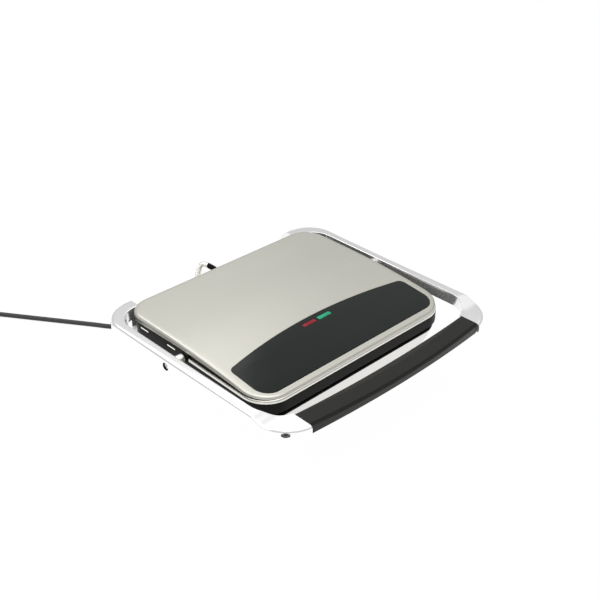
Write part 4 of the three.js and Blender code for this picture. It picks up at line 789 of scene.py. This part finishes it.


# Lid pivots: a chrome shoulder bolt with a hexagon socket in each side bar, turning in a plated
# bush in the skirt of the lid. A thin black liner round each bolt head is painted shade: it darkens
# the wall of the counterbore.
satin_plate = metal("satin_plate", (0.93, 0.93, 0.92), 0.32, uneven=0.05)
bolt_profile = softened([(0, 142.2), (2.5, 142.2), (2.5, 150.7), (4.1, 150.7), (4.1, 151.7), (6.2, 151.7),
                         (6.2, 162.7), (2.5, 162.7), (2.5, 170.8), (4, 170.8), (4, 173.4), (0, 173.4)], 0.4)
# Painted shade: a thin black liner round the bolt head that darkens the counterbore's wall.
recess_shade_profile = [(4.2, 169.2), (4.85, 169.2), (4.85, 174.7), (4.5, 174.9), (4.2, 174.7), (4.2, 169.2)]
bush_profile = [(3, 140.2), (4.1, 140.2), (4.1, 143.3), (6.5, 143.3), (6.5, 145.3), (4.1, 145.3),
                (4.1, 150.2), (3, 150.2), (3, 140.2)]
for side, word in sides_named:
    bolt, recess_shade, bush = (along_x(profile, pivot_y, pivot_z, side)
                       for profile in (bolt_profile, recess_shade_profile, bush_profile))
    bolt = carve(bolt, "DIFFERENCE", along_x(rod(1.7, 171.8, 190), pivot_y, pivot_z, side, 6))
    fit("shoulder_bolt_" + word, edged(bolt), satin_plate, "frame", "chrome", "pivot_bolt_" + word)
    # The liner is painted shade in the counterbore.
    fit("recess_shade_liner_" + word, recess_shade, heatproof, "frame", "black_plastic")
    fit("lid_bush_" + word, bush, plated, "lid", "zinc_steel", "pivot_bush_" + word)


# Corner screws: dark plated socket screws sunk in the front corners, which hold the grip's core.
# Their dark plating is partly painted shade: it also stands in for the shade in the recess round each head.
# Dark plating, and painted shade for the recesses the screw heads sit in.
dark_plate_and_recess_shade = metal("dark_plate_and_recess_shade", (0.16, 0.16, 0.17), 0.3, uneven=0.1)
screw_profile = softened([(0, 2.8), (1.7, 2.8), (1.7, 1.2), (3.4, 1.2), (3.4, 3.8), (1.8, 3.8), (1.8, 14.8),
                          (0, 14.8)], 0.3)
for side, word in sides_named:
    fit("socket_screw_" + word, in_corner(screw_profile, [1.3, 0.77, 1], side), dark_plate_and_recess_shade, "frame",
        "zinc_steel", "corner_screw_" + word)


# Grip: two satin black mouldings round the core bar. The upper one is bowed forward in the middle,
# has a crisp crease along its front and a hollow for the fingers along its back.
grip_satin = plastic("grip_satin", (0.0165, 0.016, 0.0148), 0.42, grain=1100, depth=4e-5, specular=0.16)
grip_half, grip_steps = 136, 64


def upper_section(front, rear, bow):
    hollow, wall_low = rear - 2.2 - 2 * bow, 56.5 + 3 * bow
    return softened([(front + 1.5, wall_low), (front + 3.7, wall_low), (front + 3.7, 67.3), (hollow, 67.3),
                     (hollow, 59.5), (rear, 59.5), (rear, 68.5 - 1.6 * bow), (rear - 1.5 - 8 * bow, 70),
                     (front + 3.4, 70), (front + 1.9, 68.4), (front + 0.8, 69), (front, 67.8)],
                    0.35, closed=True)


def lower_section(front, rear, bow):
    rear -= 2.5 + 2 * bow
    return softened([(front + 4, 59.5), (rear, 59.5), (rear, 61.7), (front + 4, 61.7)], 0.4, closed=True)


for piece, section, node in (("grip_top", upper_section, "grip_upper"),
                             ("grip_under", lower_section, "grip_lower")):
    rows = []
    for x in np.linspace(-grip_half, grip_half, grip_steps + 1):
        bow = 1 - (x / grip_half) ** 2
        rows.append([(x, y, z) for y, z in section(-165.5 - 8.5 * bow, -140 - 4 * bow, bow)])
    fit(piece, edged(lofted(rows)), grip_satin, "frame", "satin_black", node)


# Lid top: a pressing of brushed stainless steel, flat at the back and falling in a long curve to
# the front. Its edge rolls over, is drawn in to a groove and ends in a rolled lower lip.
lid_steel = brushed("lid_steel", (0.567, 0.559, 0.506), 0.38)
lid_front, lid_rear = -110.5, 130.5
lid_depth = lid_rear - lid_front
lid_high, lid_fall, flat_share = 81, 12.4, 0.28
lid_outline = outline(151, lid_front, lid_rear, 35, 27, corner=22, side=44)
steel_outline = outline(149.8, -107.7, 136.4, 33.8, 30, corner=22, side=44)


def lid_top(y):
    t = np.clip(((lid_rear - y) / lid_depth - flat_share) / (1 - flat_share), 0, None)
    return lid_high - lid_fall * t * t


def rim_height(y):
    return 3.4 + 6 * (y - lid_front) / lid_depth


def rim_ring(inset, share):
    return ring(steel_outline, inset, lambda y: lid_top(y) - rim_height(y) * share)


rim = smooth_path([(0.5, 6), (0.05, 5.85), (0, 4.8), (0.1, 2.7), (0.9, 1.2), (2.6, 0.3), (5.4, 0)], 5)
lid_rings = [ring(steel_outline, 6.6, above(lid_top, -1.2))]
lid_rings += [rim_ring(inset, share) for inset, share in ((1.3, 0.45), (1.2, 0.8), (1.2, 0.98))]
lid_rings += [rim_ring(inset, drop / 6) for inset, drop in rim]
lid_rings.append(ring(steel_outline, 7.2, lid_top))


def panel_skin(*steps):
    """A stack of the panel's outline, in steps of inset and rise over the lid's top. It has a straight
    front and sides, rounded corners and a rear edge in a low arc."""
    rings = []
    for inset, rise in steps:
        half, front, rear, big, small = 139.7 - inset, -101 + inset, -40.6 - inset, 20 - inset, 8.5
        places = [(0, front)]
        for a in np.linspace(-quarter_turn, 0, 15):
            places.append((half - big + big * math.cos(a), front + big + big * math.sin(a)))
        for a in np.linspace(0, quarter_turn - 0.2, 9):
            places.append((half - small + small * math.cos(a), rear - small + small * math.sin(a)))
        for t in np.linspace(0.985, 0, 22)[:-1]:
            places.append(((half - small) * t, rear + 15 * (1 - t * t)))
        places += [(0, rear + 15)] + [(-x, y) for x, y in places[:0:-1]]
        rings.append(raised(np.array(places), above(lid_top, rise)))
    return skin(rings)


lid_mesh = carve(skin(lid_rings), "DIFFERENCE", panel_skin((0, -5), (0, 5)))
fit("steel_top", edged(lid_mesh, 0.15, crease=40), lid_steel, "lid", "stainless", "lid_shell")


# Control panel: a glossy black moulding let into the front of the lid, a hair proud of the steel,
# with two lamp windows.
panel_gloss = plastic("panel_gloss", (0.0042, 0.0082, 0.0056), 0.13, grain=60, depth=1e-5, specular=0.2,
                      mottle=0.05)
panel_mesh = panel_skin((-2.4, -2.9), (-2.4, -1.5), (0.3, -1.5), (0.3, 0.0), (0.42, 0.25), (0.7, 0.4),
                        (1.6, 0.42))
lamp_y = -35.6
lamp_top = float(lid_top(lamp_y)) + 0.5


def lamp_skin(middle, *steps):
    """A small oblong block with rounded corners, in steps of inset and height."""
    rings = []
    for inset, height in steps:
        half, corner = 3 - inset, 0.9 - inset
        places = outline(10 - inset, lamp_y - half, lamp_y + half, corner, corner, corner=6, side=2)
        rings.append(ring(places, 0, height) + [middle, 0, 0])
    return skin(rings)


windows = [lamp_skin(x, (-0.3, lamp_top - 25), (-0.3, lamp_top + 20)) for x in (-12, 12)]
fit("panel_insert", edged(carve(panel_mesh, "DIFFERENCE", *windows)), panel_gloss, "lid", "gloss_black",
    "control_panel")


# Lamps: two small windows of clear coloured plastic over unlit bulbs, red for power, green for ready.
def lens(name, colour, deep):
    """Coloured clear plastic: a fine prism pattern over its back, in a bright and a deeper tone."""
    material, tree, shader, place = new_material(name)
    prisms = add_node(tree, "ShaderNodeTexWave", {"Vector": place, "Scale": 190, "Distortion": 1.5})
    blend = combined(tree, "MULTIPLY", prisms.outputs["Fac"], noise(tree, place, 160))
    wire(tree, shader, {"Base Color": mixed(tree, blend, [*deep, 1], [*colour, 1]), "Roughness": 0.2,
                        "Specular IOR Level": 0.15})
    return material


for word, x, colour, deep in (("red", -12, (0.42, 0.02, 0.04), (0.22, 0.010, 0.02)),
                              ("green", 12, (0.05, 0.62, 0.33), (0.015, 0.32, 0.17))):
    lamp_mesh = lamp_skin(x, (0, lamp_top - 5), (0, lamp_top - 0.35), (0.12, lamp_top - 0.1), (0.4, lamp_top))
    fit("lamp_" + word, lamp_mesh, lens(word + "_lens", colour, deep), "lid", word + "_lens", word + "_lamp")


# Skirt: a black heat resistant ring under the steel, with an inward flange below the plate, a hole
# for each pivot and the wiring, and slots low behind the rim where spring clips hold the steel. Its
# front half has a groove for the trim band.
def stepped(*corners):
    """A closed skin through corners, each an outline, an inset and a height that follows the depth."""
    return skin([ring(*corner) for corner in corners], closed=True)


def steel_edge(y):
    return lid_top(y) - rim_height(y) - 0.3


def skirt_top(y):
    return lid_top(y) - np.maximum(rim_height(y) * 0.6, 3.25)


def trim_low(y):
    return 60.9 + 4.6 * (y - lid_front) / lid_depth


skirt_mesh = stepped(
    (lid_outline, 12.2, 47.5), (lid_outline, 1.8, 47.5), (lid_outline, 1.1, 47.8), (lid_outline, 0.8, 48.5),
    (lid_outline, 0.8, steel_edge), (steel_outline, 1.8, steel_edge), (steel_outline, 1.8, skirt_top),
    (steel_outline, 4.2, skirt_top), (steel_outline, 4.2, above(steel_edge, 0.2)),
    (lid_outline, 4.9, above(steel_edge, -2)), (lid_outline, 4.9, 50.1), (lid_outline, 12.2, 50.1))
groove_low = above(trim_low, -0.3)
groove = carve(stepped((steel_outline, 1.6, groove_low), (lid_outline, -20, groove_low),
                       (lid_outline, -20, lid_top), (steel_outline, 1.6, lid_top)),
               "DIFFERENCE", block(-175, 175, 15.3, 152, 47.5, 101))
clip_places = [(side, y, word + where) for side, word in sides_named
               for y, where in ((47, "_front"), (97, "_rear"))]
slots = [block(side * 138 - 20, side * 138 + 20, y - 8, y + 8, 65.9, 69.1) for side, y, _ in clip_places]
pivot_holes = [along_x(rod(4.4, 131, 171), pivot_y, pivot_z, side) for side in (-1, 1)]
wiring_hole = along_y(rod(5.5, 108, 148), conduit_to[0], conduit_to[2])
skirt_mesh = carve(skirt_mesh, "DIFFERENCE", groove, *slots, *pivot_holes, wiring_hole)
fit("skirt_ring", edged(skirt_mesh, 0.2), heatproof, "lid", "black_plastic", "lid_skirt")
for side, y, word in clip_places:
    blade, leg = (block(*sorted((side * 144.5, side * end)), y - 7.7, y + 7.7, 66.2, top)
                  for end, top in ((149.6, 68.8), (145.3, 75.1)))
    fit("spring_clip_" + word, edged(carve(blade, "UNION", leg), 0.3), bright, "lid", "zinc_steel",
        "cover_clip_" + word)


# Trim band: a bright steel strip with a rounded face, let into the groove of the skirt under the
# steel top. It runs round the front of the lid from pivot to pivot.
trim_section = [(steel_outline, 1.3, trim_low)]
trim_section += [(lid_outline, inset, above(trim_low, rise))
                 for inset, rise in ((1.9, 0), (1.25, 0.2), (1, 0.8))]
for a in np.linspace(0, quarter_turn, 9):
    share = 1 - math.cos(a)
    trim_section.append((lid_outline * (1 - share) + steel_outline * share, 1 - 0.7 * share,
                         above(trim_low, 2 + 2.5 * math.sin(a))))
trim_section.append((steel_outline, 1.3, above(trim_low, 4.5)))
trim_mesh = carve(stepped(*trim_section), "DIFFERENCE", block(-175, 175, 15, 152, 47.5, 101))
trim_steel = brushed("trim_steel", (0.74, 0.73, 0.68), 0.26)
fit("trim_band", edged(trim_mesh, 0.3, crease=50), trim_steel, "lid", "stainless", "lid_trim")


# Upper cooking plate: the lower one's partner, hung in the skirt with its ribs down. The parts closed
# in above it only take their finish.
slab = stacked(lid_outline, (9.7, 50.4), (9.2, 50.6), (9, 51), (9, 57.4), (10, 58.4))
fit("ribbed_plate_upper", edged(slab, 0.3), non_stick, "lid", "non_stick", "upper_plate")
fit("ribs_upper", ribs(-93.8, 113.8, 50.4, 47.4), non_stick, "lid", "non_stick")
repaint(plated, "upper_element", "upper_reflector")
repaint(heatproof, "thermostat")
repaint(plastic("lamp_circuit_board", (0.03, 0.11, 0.045), 0.4, grain=400), "lamp_board")


# Table and light: a plain white floor that keeps a faint shadow, a white room and soft boxes.
floor_mesh = bpy.data.meshes.new("floor")
floor_mesh.from_pydata([(-6, -6, 0), (6, -6, 0), (6, 6, 0), (-6, 6, 0)], [], [[0, 1, 2, 3]])
floor = added("floor", floor_mesh)


def ray_kinds(tree):
    """The light path's outputs, and 1 for rays from the camera or from a reflection, else 0."""
    kinds = tree.nodes.new("ShaderNodeLightPath").outputs
    either = combined(tree, "MAXIMUM", kinds["Is Camera Ray"], kinds["Is Glossy Ray"])
    return kinds, combined(tree, "MAXIMUM", either, kinds["Is Transmission Ray"])


floor_paint = bpy.data.materials.new("floor_paint")
floor_paint.use_nodes = True
tree = floor_paint.node_tree
tree.nodes.clear()
kinds, seen_directly = ray_kinds(tree)
matt = add_node(tree, "ShaderNodeBsdfDiffuse", {"Color": (0.9, 0.9, 0.9, 1)})
glow = add_node(tree, "ShaderNodeEmission", {
    "Color": (1, 1, 1, 1), "Strength": ranged(tree, kinds["Is Glossy Ray"], 1.03, 1.13)})
paint = add_node(tree, "ShaderNodeMixShader", {
    "Fac": combined(tree, "MULTIPLY", seen_directly, 0.93), 1: matt.outputs[0], 2: glow.outputs[0]})
add_node(tree, "ShaderNodeOutputMaterial", {"Surface": paint.outputs[0]})
floor.data.materials.append(floor_paint)

room = bpy.data.worlds.new("room")
room.use_nodes = True
scene.world = room
tree = room.node_tree
kinds, seen_directly = ray_kinds(tree)
way = tree.nodes.new("ShaderNodeTexCoord").outputs["Generated"]
heading = add_node(tree, "ShaderNodeSeparateXYZ", {"Vector": way})
horizon = ranged(tree, heading.outputs["Z"], 0.68, 0.95, 0.51, 0.59, interpolation_type="SMOOTHSTEP")
wire(tree, tree.nodes["Background"], {
    "Color": combined(tree, "MAXIMUM", horizon, kinds["Is Camera Ray"]),
    "Strength": ranged(tree, seen_directly, 0.62, 1.0)})

for name, place, size, power, aim in (
    ("soft_box_top", (-0.1, -0.25, 1.5), 1.3, 6.6, (0, 0, 0)),
    ("soft_box_left", (-1.4, 0.2, 0.9), 0.9, 3, (0, 0, 0.05)),
    ("soft_box_back", (-0.3, 1.0, 1.25), 0.6, 2.6, (0, 0, 0.05)),
    ("soft_box_right", (0.5, 0.9, 1.33), 0.6, 1.5, (0, -0.05, 0.05)),
):
    lamp = bpy.data.lights.new(name, "AREA")
    lamp.shape = "SQUARE"
    lamp.size = size
    lamp.energy = power
    holder = added(name, lamp)
    holder.location = place
    holder.rotation_euler = (Vector(aim) - holder.location).to_track_quat("-Z", "Y").to_euler()
